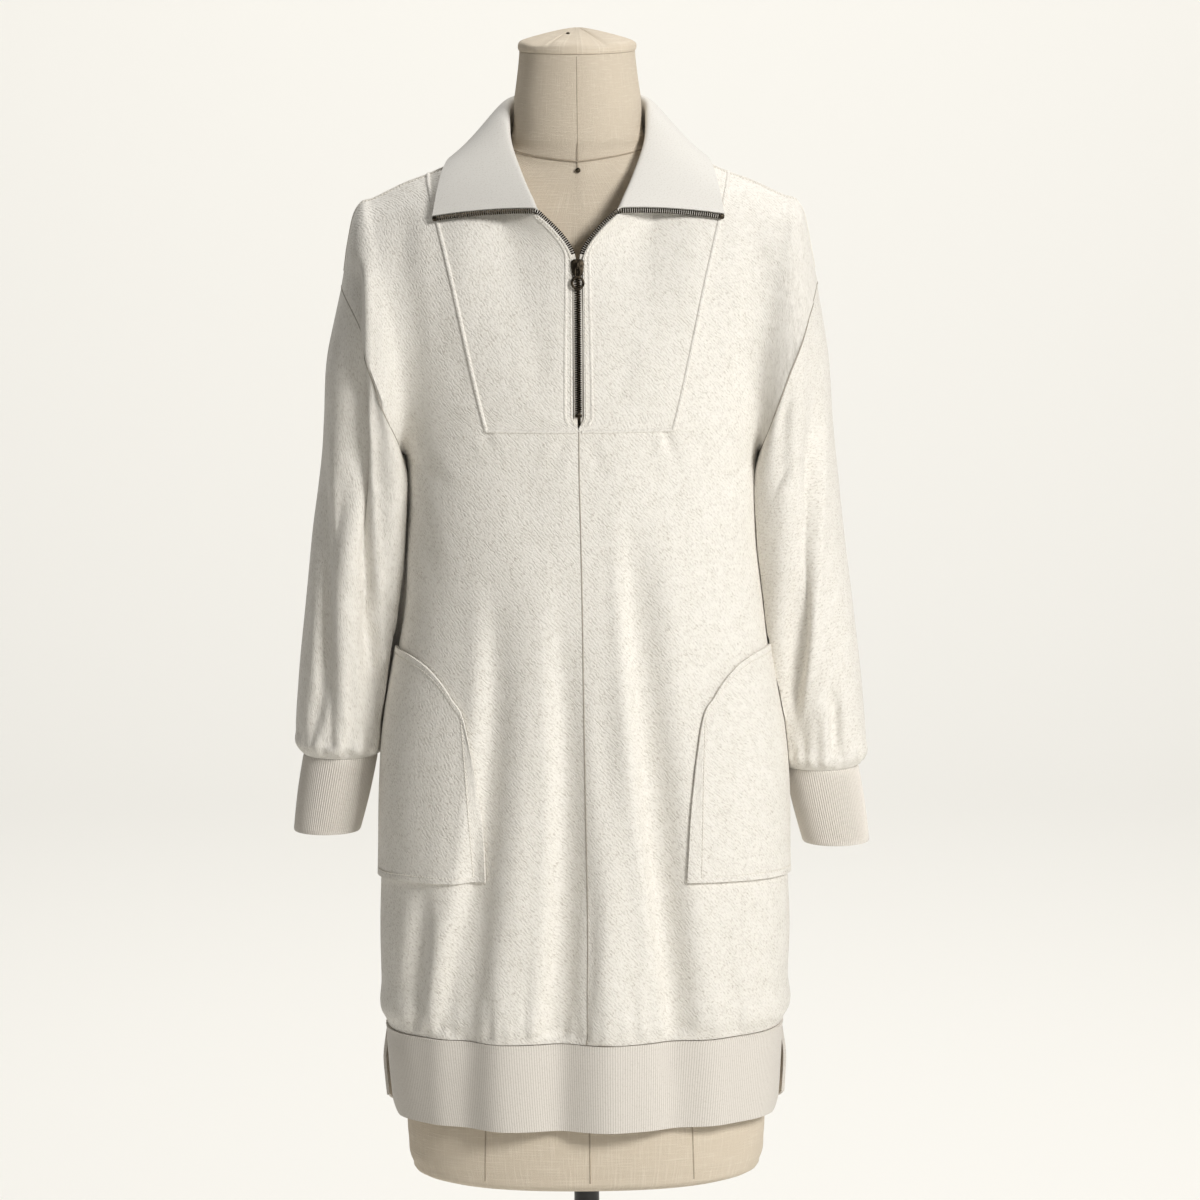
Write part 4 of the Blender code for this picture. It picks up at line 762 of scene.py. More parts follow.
# %% The skin and its walls
class Skin:
    """Grids of outer points, welded along their seams, with normals and creases that neighbours share."""

    def __init__(self):
        self.pieces, self.points, self.flat = {}, [], []
        self.count = 0

    def add(self, name, grid, mask=None, turned=False):
        """Put a grid, or its masked cells, into a piece; its flat position is the distance along both ways."""
        rows, columns = grid.shape[:2]
        across = np.concatenate([np.zeros((rows, 1)),
                                 np.cumsum(np.linalg.norm(np.diff(grid, axis=1), axis=2), axis=1)], axis=1)
        down = np.concatenate([np.zeros((1, columns)),
                               np.cumsum(np.linalg.norm(np.diff(grid, axis=0), axis=2), axis=0)])
        if name.split("_")[0] in ("front", "yoke", "back"):
            across = across - across[:, -1:]
        ids = self.count + np.arange(rows * columns).reshape(rows, columns)
        self.points.append(grid.reshape(-1, 3))
        self.flat.append(np.stack([across * (-1 if turned else 1), down], -1).reshape(-1, 2))
        self.count += ids.size
        cells = grid_cells(ids)
        cells = cells[mask] if mask is not None else cells.reshape(-1, 4)
        self.pieces.setdefault(name, []).append(cells[:, [0, 3, 2, 1]] if turned else cells)
        return ids

    def weld(self):
        """Equal points become one; a point's normal is the unit sum of the unit normals of its groups."""
        points, self.flat = np.concatenate(self.points), np.concatenate(self.flat)
        _, first, same = np.unique(np.round(points * WELD).astype(np.int64), axis=0,
                                   return_index=True, return_inverse=True)
        self.skin = points[first]
        self.same = same.reshape(-1)
        self.corners = {name: np.concatenate(parts) for name, parts in self.pieces.items()}
        self.faces = {name: self.same[cells] for name, cells in self.corners.items()}
        groups = {}
        for name, cells in self.faces.items():
            a, b, c, d = (self.skin[cells[:, k]] for k in range(4))
            across = np.cross(c - a, d - b)
            group = "body" if name.split("_")[0] in ("front", "yoke", "back") else name
            normals = groups.setdefault(group, np.zeros(self.skin.shape))
            for k in range(4):
                for axis in range(3):
                    normals[:, axis] += np.bincount(cells[:, k], across[:, axis], len(self.skin))
        self.normals = unit(sum(unit(normals) for normals in groups.values()))
        level = np.abs(self.skin[:, 2] - HEM_SEAM_Z) < 1e-5
        self.normals[level, 2] = 0.0
        self.normals = unit(self.normals)

    def press(self, name_starts, depth_of):
        """Move the points of some pieces inwards along their normals by a depth worked out from them."""
        used = np.unique(np.concatenate([cells.ravel() for name, cells in self.faces.items()
                                         if name.startswith(name_starts)]))
        depth = depth_of(self.skin[used], self.normals[used])
        self.pressed[used] = np.where(np.abs(depth) > np.abs(self.pressed[used]), depth, self.pressed[used])

    def wall(self, name, thickness, raised=None):
        """Vertices, quads and flat corners of a closed wall; raised lifts the outer points alone."""
        cells, corners = self.faces[name], self.corners[name]
        edges = np.concatenate([np.stack([cells[:, k], cells[:, (k + 1) % 4],
                                          corners[:, k], corners[:, (k + 1) % 4]], -1) for k in range(4)])
        key = edges[:, 0] * (len(self.skin) + 1) + edges[:, 1]
        back_key = edges[:, 1] * (len(self.skin) + 1) + edges[:, 0]
        edges = edges[~np.isin(back_key, key)]
        a, b = edges[:, 0], edges[:, 1]
        way = unit(np.cross(unit(self.normals[a] + self.normals[b]), self.skin[b] - self.skin[a]))
        inwards = np.zeros(self.skin.shape)
        np.add.at(inwards, a, way)
        np.add.at(inwards, b, way)
        points = self.skin + unit(inwards) * SEAM_GAP / 2 * (np.linalg.norm(inwards, axis=1) > 0)[:, None]
        used, local = np.unique(cells, return_inverse=True)
        local = local.reshape(cells.shape)
        count = len(used)
        outer = points[used] - self.normals[used] * self.pressed[used][:, None]
        inner = outer - self.normals[used] * thickness
        if raised is not None:
            outer = outer + self.normals[used] * raised[used][:, None]
        near, far = np.searchsorted(used, a), np.searchsorted(used, b)
        rim = np.stack([far, near, near + count, far + count], -1)
        rim_corners = np.stack([edges[:, 3], edges[:, 2], edges[:, 2], edges[:, 3]], -1)
        quads = np.concatenate([local, local[:, ::-1] + count, rim])
        flat = self.flat[np.concatenate([corners, corners[:, ::-1], rim_corners])]
        return np.concatenate([outer, inner]), quads, flat


# %% Put arrays into a mesh
def add_mesh(name, points, quads, flat=None, body="root", smooth=True):
    """One object from arrays: points, cells of equal size, and a flat position in metres per corner."""
    quads = np.asarray(quads)
    mesh = bpy.data.meshes.new(name)
    mesh.vertices.add(len(points))
    mesh.vertices.foreach_set("co", np.asarray(points, np.float32).ravel())
    mesh.loops.add(quads.size)
    mesh.loops.foreach_set("vertex_index", quads.astype(np.int32).ravel())
    mesh.polygons.add(len(quads))
    mesh.polygons.foreach_set("loop_start", np.arange(len(quads), dtype=np.int32) * quads.shape[1])
    if flat is not None:
        layer = mesh.uv_layers.new(name="UVMap")
        layer.data.foreach_set("uv", np.asarray(flat, np.float32).ravel())
    mesh.update()
    mesh.validate()
    if smooth:
        mesh.shade_smooth()
        mesh.set_sharp_from_angle(angle=math.radians(50))
    made = bpy.data.objects.new(name, mesh)
    bpy.context.scene.collection.objects.link(made)
    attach(made, body)
    return made


def carried(line, normals, profile, side=None):
    """Grid of a flat profile carried along a line: sideways by its first number, outwards by its second."""
    if side is None:
        side = unit(np.cross(np.gradient(line, axis=0), normals))
    profile = np.asarray(profile, float)
    return (line[:, None] + side[:, None] * profile[None, :, :1] + unit(normals)[:, None]
            * profile[None, :, 1:])


def tube(name, grid):
    """Closed solid of a grid whose rows are rings: cells between the rings, and a fan of quads at both ends."""
    rows, sides = grid.shape[:2]
    axis = grid.mean(axis=1, keepdims=True)
    turn = np.cross(grid[:, 0] - axis[:, 0], grid[:, 1] - axis[:, 0])
    if (turn * np.gradient(axis[:, 0], axis=0)).sum() < 0:
        grid = grid[:, ::-1]
    ids = np.arange(rows * sides).reshape(rows, sides)
    closed = np.concatenate([ids, ids[:, :1]], axis=1)
    cells = grid_cells(closed).reshape(-1, 4)
    centre = grid.mean(axis=1)
    points = np.concatenate([grid.reshape(-1, 3), centre[[0, -1]]])
    half = np.arange(0, sides, 2)
    low = np.stack([closed[0, half + 2], closed[0, half + 1], closed[0, half],
                    np.full(len(half), rows * sides)], -1)
    high = np.stack([closed[-1, half], closed[-1, half + 1], closed[-1, half + 2],
                     np.full(len(half), rows * sides + 1)], -1)
    far = lengths(centre)
    around = lengths(np.concatenate([grid[rows // 2], grid[rows // 2][:1]]))
    flat = np.stack(np.broadcast_arrays(around[None, :], far[:, None]), -1)
    corner = grid_cells(flat, -2).reshape(-1, 4, 2)
    corner = np.concatenate([corner, np.zeros((len(low) + len(high), 4, 2))])
    return add_mesh(name, points, np.concatenate([cells, low, high]), corner)


# %% [markdown]
# ## Weld the sewn pieces and press their creases
#
# The yoke is a mask over the front's own grid, so both sides of its seam have the same points. The hem and
# the sleeve ends are drawn in by their ribs, which throws the fleece above them into small uneven gathers.
# Those come from a few sine waves of seeded lengths, which fade out upwards.

# %% Weld and press
skin = Skin()
front_ids, sleeve_ids = {}, {}
half_rows, half_columns = front[1].shape[0] - 1, front[1].shape[1] - 1
yoke_cells = np.zeros((half_rows, half_columns), bool)
yoke_cells[YOKE_ROW:, COLUMNS_SIDE:] = True
SIDES = ((-1, "left"), (1, "right"))
for sign, name in SIDES:
    front_ids[sign] = skin.add(f"front_{name}", front[sign], ~yoke_cells, turned=sign > 0)
    skin.add(f"yoke_{name}", front[sign], yoke_cells, turned=sign > 0)
    skin.add("back", back[sign], turned=sign < 0)
    sleeve_ids[sign] = skin.add(f"sleeve_{name}", sleeves[sign], turned=sign > 0)
collar_ids = skin.add("collar", collar_grid, turned=True)
skin.weld()
skin.pressed = np.zeros(len(skin.skin))


BODY_GATHER, SLEEVE_GATHER = 0.00075, 0.0011      # height of the gathers above the ribs
BROAD_WAVE = 0.0006                               # long low waves of the whole body
CUFF_SEAM_LEFT_Z, CUFF_SEAM_RIGHT_Z = 0.8645, 0.8505


def body_depth(points, normals):
    """Creases of the side that a point faces, plus gathers above the hem that fade over 35 mm."""
    ahead = smoothstep((0.15 - normals[:, 1]) / 0.3)
    depth = crease_depth(points, FRONT_CREASES) * ahead + crease_depth(points, BACK_CREASES) * (1 - ahead)
    up = points[:, 2] - HEM_SEAM_Z
    gather = ripple(points[:, 0] + 0.07 * points[:, 1], 11, 0.024, 0.009) + 0.3
    depth = depth + BODY_GATHER * gather * smoothstep(up / 0.006) * (1 - smoothstep((up - 0.006) / 0.034))
    broad = ripple(points[:, 0] + 0.15 * points[:, 2], 5, 0.16, 0.05) * ripple(points[:, 2], 6, 0.35, 0.12)
    return depth + BROAD_WAVE * broad * smoothstep(up / 0.05) * smoothstep((1.36 - points[:, 2]) / 0.05)


def sleeve_depth(points, normals):
    """Creases of the side that a point faces, plus gathers above the cuff that fade over 40 mm."""
    ahead = smoothstep((0.15 - normals[:, 1]) / 0.3)
    depth = (crease_depth(points, SLEEVE_FRONT_CREASES) * ahead
             + crease_depth(points, SLEEVE_BACK_CREASES) * (1 - ahead))
    low = np.where(points[:, 0] < 0, CUFF_SEAM_LEFT_Z, CUFF_SEAM_RIGHT_Z)
    up = points[:, 2] - low
    turn = np.arctan2(points[:, 1] - 0.02, np.abs(points[:, 0]) - 0.222) * 0.032
    gather = ripple(turn + 0.3 * (points[:, 0] > 0), 21, 0.017, 0.0075)
    depth = depth + SLEEVE_GATHER * gather * smoothstep(up / 0.005) * (1 - smoothstep((up - 0.008) / 0.036))
    return depth * smoothstep((np.abs(points[:, 0]) - 0.158) / 0.012)


skin.press(("front", "yoke", "back"), body_depth)
skin.press(("sleeve",), sleeve_depth)
print("deepest crease, mm:", round(1000 * skin.pressed.max(), 1),
      "| highest ridge, mm:", round(-1000 * skin.pressed.min(), 1))

# %% Cut out the sewn pieces
made, cuts = {}, {}


def cut_size(name, grid, mask=None):
    """Width and length of a piece laid flat, and its area: sums of cell edges and of cell areas."""
    wide = np.linalg.norm(np.diff(grid, axis=1), axis=2)
    tall = np.linalg.norm(np.diff(grid, axis=0), axis=2)
    cell = 0.5 * np.linalg.norm(np.cross(grid[1:, 1:] - grid[:-1, :-1], grid[1:, :-1] - grid[:-1, 1:]),
                                axis=2)
    if mask is None:
        mask = np.ones(cell.shape, bool)
    width = max((wide[:-1] * mask).sum(axis=1).max(), (wide[1:] * mask).sum(axis=1).max())
    length = max((tall[:, :-1] * mask).sum(axis=0).max(), (tall[:, 1:] * mask).sum(axis=0).max())
    cuts[name] = (float(width), float(length), float((cell * mask).sum()))


for name in skin.faces:
    points, quads, flat = skin.wall(name, COLLAR_WALL if name == "collar" else FLEECE_WALL)
    made[name] = add_mesh(name + "_cloth", points, quads, flat)
    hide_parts(name)
for sign, name in SIDES:
    cut_size(f"front_{name}", front[sign], ~yoke_cells)
    cut_size(f"yoke_{name}", front[sign], yoke_cells)
    cut_size(f"sleeve_{name}", sleeves[sign])
cut_size("back", np.concatenate([back[-1], back[1][:, -2::-1]], axis=1))
cut_size("collar", collar_grid)
print({name: len(o.data.polygons) for name, o in made.items()})

# %% [markdown]
# ## Rib bands and cuffs
#
# A rib knit is rows of raised wales, here 2.2 mm apart. They are real relief: the outer points of the wall
# rise and fall four times a wale, while its inside stays plain. A bump map would be lighter, but at the
# edge of a cuff the wales show in the outline. The band must have a whole number of wales, so its columns are
# spaced evenly along its measured length.

# %% Ribs
WALE = 0.0022
WALE_HEIGHT = 0.00070


def wales(columns):
    """Cosine of the column number, four columns a wale, from nothing to the wale's height."""
    return WALE_HEIGHT * (0.5 + 0.5 * np.cos(np.arange(columns) * math.pi / 2))


def rib_piece(name, grid, turned, label):
    """Wall of a ribbed grid whose columns are quarter wales."""
    piece = Skin()
    ids = piece.add(name, grid, turned=turned)
    piece.weld()
    piece.flat[:, 0] = np.tile(np.arange(grid.shape[1]) * WALE / 4, len(grid))
    piece.pressed = np.zeros(len(piece.skin))
    raised = np.zeros(len(piece.skin))
    fade = np.ones(len(grid))
    fade[[0, -1]] = 0.25
    raised[piece.same[ids]] = wales(grid.shape[1])[None, :] * fade[:, None] - 0.0001
    points, quads, flat = piece.wall(name, RIB_WALL, raised)
    made[label] = add_mesh(label + "_rib", points, quads, flat)
    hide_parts(label)
    cut_size(label, grid)


def band_row(share, t, u_top, u_low, face, wider):
    """Points of the band at share t of its depth; share runs -1..1 between its side edges."""
    corner = 0.010 * smoothstep((np.abs(share) - 0.86) / 0.14) * t ** 3
    z = HEM_SEAM_Z - SEAM_GAP + (HEM_BOTTOM_Z - HEM_SEAM_Z + SEAM_GAP) * t + corner
    points = lower_body(share * (u_top + (u_low - u_top) * t), z, face)
    points[:, 0] *= 1 + wider * smoothstep(t / 0.5)
    points[:, 1] += face * 0.0012 * np.sin(math.pi * t)
    return points


BAND_ROWS = np.concatenate([[0, 0.03], np.linspace(0.09, 0.93, 11), [0.975, 1.0]])
# Name, share of the side seam reached at the top and at the bottom, face, widening downwards.
BANDS = (("hem_front", 0.985, 0.955, -1, 0.0), ("hem_back", 1.0, 1.0, 1, 0.030))
for label, u_top, u_low, face, wider in BANDS:
    even = np.linspace(-1, 1, 801)
    far = lengths(band_row(even, 0.5, u_top, u_low, face, wider))
    count = 4 * round(far[-1] / WALE)
    share = np.interp(np.linspace(0, far[-1], count + 1), far, even)
    grid = np.array([band_row(share, t, u_top, u_low, face, wider) for t in BAND_ROWS])
    rib_piece(label, grid, face > 0, label)
    print(label, "wales:", count // 4, "| length, mm:", round(1000 * far[-1]))

# %% Cuffs
def cuff(sign, seam, columns):
    """Straight lines from the sleeve's last ring to an ellipse, bowed outwards by a sine."""
    at = np.linspace(0, 1, columns + 1)
    start = sampled(at * (len(seam) - 1), np.arange(len(seam)), seam)
    centre = seam[:-1].mean(axis=0)
    angle = math.pi * (1 - 2 * at)
    end = np.stack([centre[0] + sign * CUFF["lean"] + sign * CUFF["half_width"] * np.cos(angle),
                    centre[1] - CUFF["half_depth"] * np.sin(angle),
                    centre[2] - CUFF["length"] + 0 * angle], -1)
    outwards = np.stack([sign * np.cos(angle), -np.sin(angle), 0 * angle], -1)
    rows = []
    for t in np.concatenate([[0, 0.03], np.linspace(0.09, 0.93, 10), [0.975, 1.0]]):
        rows.append(start * (1 - t) + end * t + outwards * 0.0010 * math.sin(math.pi * t))
    grid = np.array(rows)
    grid[:, -1] = grid[:, 0]
    return grid


for sign, name in SIDES:
    columns = 4 * round(lengths(sleeves[sign][-1])[-1] / WALE)
    rib_piece(f"cuff_{name}", cuff(sign, sleeves[sign][-1], columns), sign > 0, f"cuff_{name}")
    print("cuff", name, "wales:", columns // 4)

# %% [markdown]
# ## Patch pockets
#
# Each pocket is sewn on top of the front, so it has to follow every fold beneath it. Its grid is laid out in
# the front's own two parameters, pressed by the same creases and then lifted off. A border of 6 mm stands a
# little higher, as a turned and stitched edge does. Shrinkwrap could lay a flat patch on the front, but it
# would not know the pocket's curved mouth.

# %% Pockets
def pocket_lines(up, across, sign):
    """u and z of the patch: six rounds move z between the sloping bottom and the curved mouth."""
    bottom = POCKET_BOTTOM_Z - POCKET_BOTTOM_DROP * across
    z = bottom + 0.12 * up
    for _ in range(6):
        half = curve(SECTIONS, z)[..., 0 if sign < 0 else 1]
        inner = np.arcsin(np.clip(curve(POCKET_EDGE, up)[..., 0] / half, 0, 0.995)) * 2 / math.pi
        u = inner + (POCKET_SIDE_U - inner) * across
        mouth = curve(POCKET_MOUTH, half * np.sin(u * math.pi / 2))[..., 0]
        z = bottom * (1 - up) + mouth * up
    return u * sign, z


pocket_edges = {}
for sign, name in SIDES:
    across, up = np.meshgrid(np.linspace(0, 1, 57), np.linspace(0, 1, 105))
    u, z = pocket_lines(up, across, sign)
    grid = lower_body(u, z, -1)
    piece = Skin()
    ids = piece.add(name, grid, turned=sign < 0)
    piece.weld()
    piece.pressed = body_depth(piece.skin, piece.normals) - POCKET_LIFT - FLEECE_WALL
    wide = np.linalg.norm(np.diff(grid, axis=1), axis=2).sum(axis=1)[:, None]
    tall = np.linalg.norm(np.diff(grid, axis=0), axis=2).sum(axis=0)[None, :]
    edge = np.minimum(np.minimum(across, 1 - across) * wide, np.minimum(up, 1 - up) * tall)
    border = (0.0005 * (1 - smoothstep((edge - 0.0045) / 0.003))
              - 0.0004 * np.exp(-((edge - 0.0065) / 0.0012) ** 2))
    raised = np.zeros(len(piece.skin))
    raised[piece.same[ids]] = border
    points, quads, flat = piece.wall(name, FLEECE_WALL, raised)
    made[f"pocket_{name}"] = add_mesh(f"pocket_{name}_cloth", points, quads, flat)
    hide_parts(f"pocket_{name}")
    cut_size(f"pocket_{name}", grid)
    top = (piece.skin - piece.normals * piece.pressed[:, None])[piece.same[ids]]
    out = piece.normals[piece.same[ids]]
    inner_column, mouth_row, low_row = 4, -4, 3
    pocket_edges[sign] = [(top[low_row:mouth_row, inner_column], out[low_row:mouth_row, inner_column]),
                          (top[mouth_row, inner_column:], out[mouth_row, inner_column:]),
                          (top[low_row, inner_column:], out[low_row, inner_column:])]
print("pocket, mm:", [round(1000 * v) for v in cuts["pocket_left"][:2]])

# %% [markdown]
# ## Seams and stitches
#
# Where two panels are sewn, the allowance underneath lifts a soft roll beside the line, and the light
# catches it. A roll is a low half-round profile carried along the seam's own points. Stitches are short
# capsules laid end to end on the cloth. There are over a thousand, so each has only 22 faces, and all those
# of one seam are one mesh. A hair or particle system could place them, but the export needs plain meshes.

# %% Lines on the cloth
def surface(numbers):
    """Place and normal of welded points after the creases were pressed in."""
    return skin.skin[numbers] - skin.normals[numbers] * skin.pressed[numbers][..., None], skin.normals[numbers]


def beside(ids, distance):
    """Line at one distance from the last column of a grid, found between two columns on every row."""
    points, normals = surface(skin.same[ids[:, ::-1]])
    far = np.cumsum(np.linalg.norm(np.diff(points, axis=1), axis=2), axis=1)
    far = np.concatenate([np.zeros((len(far), 1)), far], axis=1)
    k = np.clip((far < distance).sum(axis=1) - 1, 0, far.shape[1] - 2)
    row = np.arange(len(far))
    f = ((distance - far[row, k]) / (far[row, k + 1] - far[row, k]))[:, None]
    return points[row, k] * (1 - f) + points[row, k + 1] * f, normals[row, k]


def roll(name, line, normals, half=0.0016, height=0.0009):
    """Half-round ridge carried along a seam: an ellipse above the cloth and a flat foot in it."""
    angle = np.linspace(0, 2 * math.pi, 11)[:-1]
    profile = np.stack([half * np.cos(angle), np.maximum(height * np.sin(angle), -0.0003)], -1)
    return tube(name, carried(line, normals, profile))


def scatter(name, points, quads, centres, frames, body="root"):
    """Copies of a small mesh: its points times each frame's three directions, plus each centre."""
    placed = (points[None] @ frames + centres[:, None]).reshape(-1, 3)
    cells = (quads[None] + (np.arange(len(centres)) * len(points))[:, None, None]).reshape(-1, 4)
    return add_mesh(name, placed, cells, body=body)


def bead(radii, places, sides, squash=1.0):
    """Small closed solid along x: one ring at each place with its radius, and both ends covered."""
    angle = 2 * math.pi * np.arange(sides) / sides
    rings = np.stack(np.broadcast_arrays(np.array(places)[:, None],
                                         np.array(radii)[:, None] * np.cos(angle),
                                         np.array(radii)[:, None] * np.sin(angle) * squash), -1)
    ids = np.arange(len(radii) * sides).reshape(len(radii), sides)
    closed = np.concatenate([ids, ids[:, :1]], axis=1)
    cells = grid_cells(closed).reshape(-1, 4)
    low = [ids[0][[0, k + 2, k + 1, k]] for k in range(1, sides - 2, 2)]
    high = [ids[-1][[0, k, k + 1, k + 2]] for k in range(1, sides - 2, 2)]
    return rings.reshape(-1, 3), np.concatenate([cells, low, high])


STITCH = bead((0.00022, 0.00052, 0.00052, 0.00022), (-0.00115, -0.0008, 0.0008, 0.00115), 6)


def stitches(name, lines, lift=0.00022, pitch=0.0031):
    """Capsules along lines on the cloth, each turned to the line's direction."""
    centres, frames = [], []
    for line, normals in lines:
        both = np.concatenate([line, normals], axis=1)
        far = lengths(line)
        at = np.arange(pitch / 2, far[-1], pitch)
        place = sampled(at, far, both)
        run = unit(sampled(at, far, np.gradient(line, axis=0)))
        out = unit(place[:, 3:])
        centres.append(place[:, :3] + out * lift)
        frames.append(np.stack([run, unit(np.cross(out, run)), out], 1))
    centres, frames = np.concatenate(centres), np.concatenate(frames)
    print(name, "stitches:", len(centres))
    return scatter(name, *STITCH, centres, frames)


# %% Sew the seams
NEAR_STITCH, FAR_STITCH = 0.0018, 0.0072          # two rows beside the zip and the collar's edge
SHOULDER_STITCH = 0.0035
trims = {}
for sign, name in SIDES:
    ids = front_ids[sign]
    side_seam = surface(skin.same[ids[YOKE_ROW:, COLUMNS_SIDE]])
    bottom_seam = surface(skin.same[ids[YOKE_ROW, COLUMNS_SIDE:-1]])
    shoulder = surface(skin.same[ids[-1, 2:neck_column + 1]])
    armhole = surface(skin.same[sleeve_ids[sign][0]])
    trims[f"yoke_seam_{name}"] = roll(f"yoke_seam_{name}", *side_seam, 0.0019, 0.0014)
    trims[f"yoke_bottom_seam_{name}"] = roll(f"yoke_bottom_seam_{name}", *bottom_seam, 0.0016, 0.0011)
    trims[f"shoulder_seam_{name}"] = roll(f"shoulder_seam_{name}", *shoulder, 0.0015, 0.0007)
    # The armhole roll takes the dark seam_shade colour: painted shade along the armhole seam.
    trims[f"armhole_seam_{name}"] = roll(f"armhole_seam_{name}", *armhole, 0.0008, 0.0004)
    upright = np.nonzero(front[sign][:, -1, 2] > ZIP_STOP_Z - 0.006)[0][0]
    rows = ids[upright:]
    wing = collar_ids[1:] if sign > 0 else collar_ids[1:, ::-1]
    lines = [beside(edge, far) for edge in (rows, wing) for far in (NEAR_STITCH, FAR_STITCH)]
    lines += [beside(ids[:, 2:neck_column + 1].T, SHOULDER_STITCH)]
    lines += pocket_edges[sign]
    trims[f"stitches_{name}"] = stitches(f"stitches_{name}", lines)
    trims[f"placket_ridge_{name}"] = roll(f"placket_ridge_{name}", *lines[1], 0.0015, 0.0006)
# A thin roll in the dark seam_shade colour: painted shade along the centre front seam.
trims["centre_seam"] = roll("centre_seam", *surface(skin.same[front_ids[1][:YOKE_ROW + 1, -1]]), 0.0007, 0.0003)

# %% [markdown]
# ## The zip
#
# An open zip is two rows of teeth on two tapes, and a closed one is the same rows meshed together: each tooth
# stands half a pitch from the next one of the other row. One tooth is a short bar with rounded ends, 60
# triangles, copied along the edge of the cloth at a 2 mm pitch.

# %% Tapes, teeth and stops
TOOTH_PITCH = 0.0020
TOOTH = bead((0.00080, 0.00125, 0.00125, 0.00080), (-0.0022, -0.0016, 0.0016, 0.0022), 8, 0.66)
TAPE_PLACE = 0.0021       # middle of a tape, from the cloth's edge
TAPE_PROFILE = [(-0.0015, 0.0003), (0.0015, 0.0003), (0.0015, -0.0003), (-0.0015, -0.0003)]
zip_parts = {}


def zip_row(line, neck_point, sign):
    """Middle of a tape, a point a millimetre: away from the cloth, which lies above it past the fold."""
    run = unit(np.gradient(line, axis=0))
    away = unit(np.stack([-sign * np.abs(run[:, 2]), 0 * run[:, 0], np.abs(run[:, 0])], -1))
    hang = smoothstep((lengths(line) - neck_point + 0.002) / 0.016)[:, None]
    away = unit(away * (1 - hang) + hang * np.array([0.0, -0.15, -1.0]))
    middle = line + away * TAPE_PLACE + np.array([0.0, 0.0024, 0.0]) * (1 - 1.2 * hang)
    middle[:, 0] = sign * np.maximum(sign * middle[:, 0], 0.0023)
    middle = np.concatenate([middle[:1] - [0.0, 0.0, 0.009], middle])
    far = lengths(middle)
    at = np.linspace(0, far[-1], round(far[-1] / 0.001))
    path = smoothed(sampled(at, far, middle), 26)
    run = unit(np.gradient(path, axis=0))
    across = unit(np.cross(run, [0.0, -1.0, 0.0]))
    return path, across, unit(np.cross(across, run))


for sign, name in SIDES:
    start = np.nonzero(front[sign][:, -1, 2] > ZIP_STOP_Z - 0.001)[0][0]
    edge = skin.skin[skin.same[front_ids[sign][start:, -1]]]
    wing_edge = skin.skin[skin.same[collar_ids[1:, 0 if sign < 0 else -1]]]
    path, across, out = zip_row(np.concatenate([edge, wing_edge]), lengths(edge)[-1], sign)
    zip_parts[f"zip_tape_{name}"] = tube(f"zip_tape_{name}_woven", carried(path, out, TAPE_PROFILE, across))
    far = lengths(path)
    first = far[int(np.argmax(path[:, 2] > ZIP_MOUTH_Z + 0.004))]
    at = np.arange(first, far[-1] - 0.004, TOOTH_PITCH)
    centres, side, front_of = (sampled(at, far, part) for part in (path, across, out))
    frames = np.stack([side, front_of, unit(np.cross(side, front_of))], 1)
    zip_parts[f"zip_teeth_{name}"] = scatter(f"zip_teeth_{name}_row", *TOOTH, centres, frames)
    grid = carried(path[-5:], out[-5:], oval(0.0024, 0.0016, 1.0, 12), across[-5:])
    zip_parts[f"zip_top_stop_{name}"] = tube(f"zip_top_stop_{name}_clip", swollen(grid, (0.75, 1, 1, 1, 0.75)))
    print(name, "open teeth:", len(at))

# %% The closed chain and its lower stop
centre_line = (front[-1][:, -1] + front[1][:, -1]) / 2
centre_line = centre_line[centre_line[:, 2] > YOKE_BOTTOM_Z - 0.004]


def on_zip(z):
    """Points of the zip's centre line at given heights."""
    return sampled(z, centre_line[:, 2], centre_line)


def zip_frame(z):
    """Across, outwards and upwards along the zip's centre line."""
    up = unit(on_zip(z + 0.004) - on_zip(z - 0.004))
    across = np.tile([1.0, 0.0, 0.0], (len(z), 1))
    return across, unit(np.cross(across, up)), up


chain_teeth = []
for sign in (-1, 1):
    z = np.arange(CHAIN_BOTTOM_Z + 0.0006 + (TOOTH_PITCH / 2 if sign > 0 else 0), SLIDER_Z + 0.004, TOOTH_PITCH)
    across, out, up = zip_frame(z)
    frames = np.stack([-sign * across, out, sign * up], 1)
    chain_teeth.append((on_zip(z) + sign * across * CHAIN_HALF - out * 0.0010, frames))
CHAIN_TOOTH = bead((0.00100, 0.00128, 0.00128, 0.00085), (0.0, 0.0004, 0.0028, 0.0034), 8, 0.38)
zip_parts["zip_chain"] = scatter("zip_chain_teeth", *CHAIN_TOOTH,
                                 np.concatenate([c for c, _ in chain_teeth]),
                                 np.concatenate([f for _, f in chain_teeth]))
z = np.linspace(CHAIN_BOTTOM_Z - 0.0036, CHAIN_BOTTOM_Z - 0.0004, 6)
across, out, up = zip_frame(z)
grid = carried(on_zip(z), out, oval(0.0031, 0.0015, 0.6, 16, middle=-0.0011), across)
zip_parts["zip_bottom_stop"] = tube("zip_bottom_stop_clip", swollen(grid, (0.8, 0.95, 1, 1, 0.95, 0.8)))
print("closed teeth:", sum(len(c) for c, _ in chain_teeth))

# %% [markdown]
# ## Slider and pull
#
# The slider is two plates, one before and one behind the chain, joined above it, with an arch that holds the
# pull. Each plate is an outline lofted through its thickness, smaller at both faces so that the edge is
# rounded. The pull is two closed loops of a rounded bar: a long one round the arch and a ring at its end.

# %% Slider
BAR_POWER = 0.7           # how square the bars of the arch and the pull are
slider_across, slider_out, slider_up = zip_frame(np.array([SLIDER_Z]))
slider_place = on_zip(np.array([SLIDER_Z]))[0]
slider_axes = np.stack([slider_across[0], -slider_out[0], slider_up[0]])


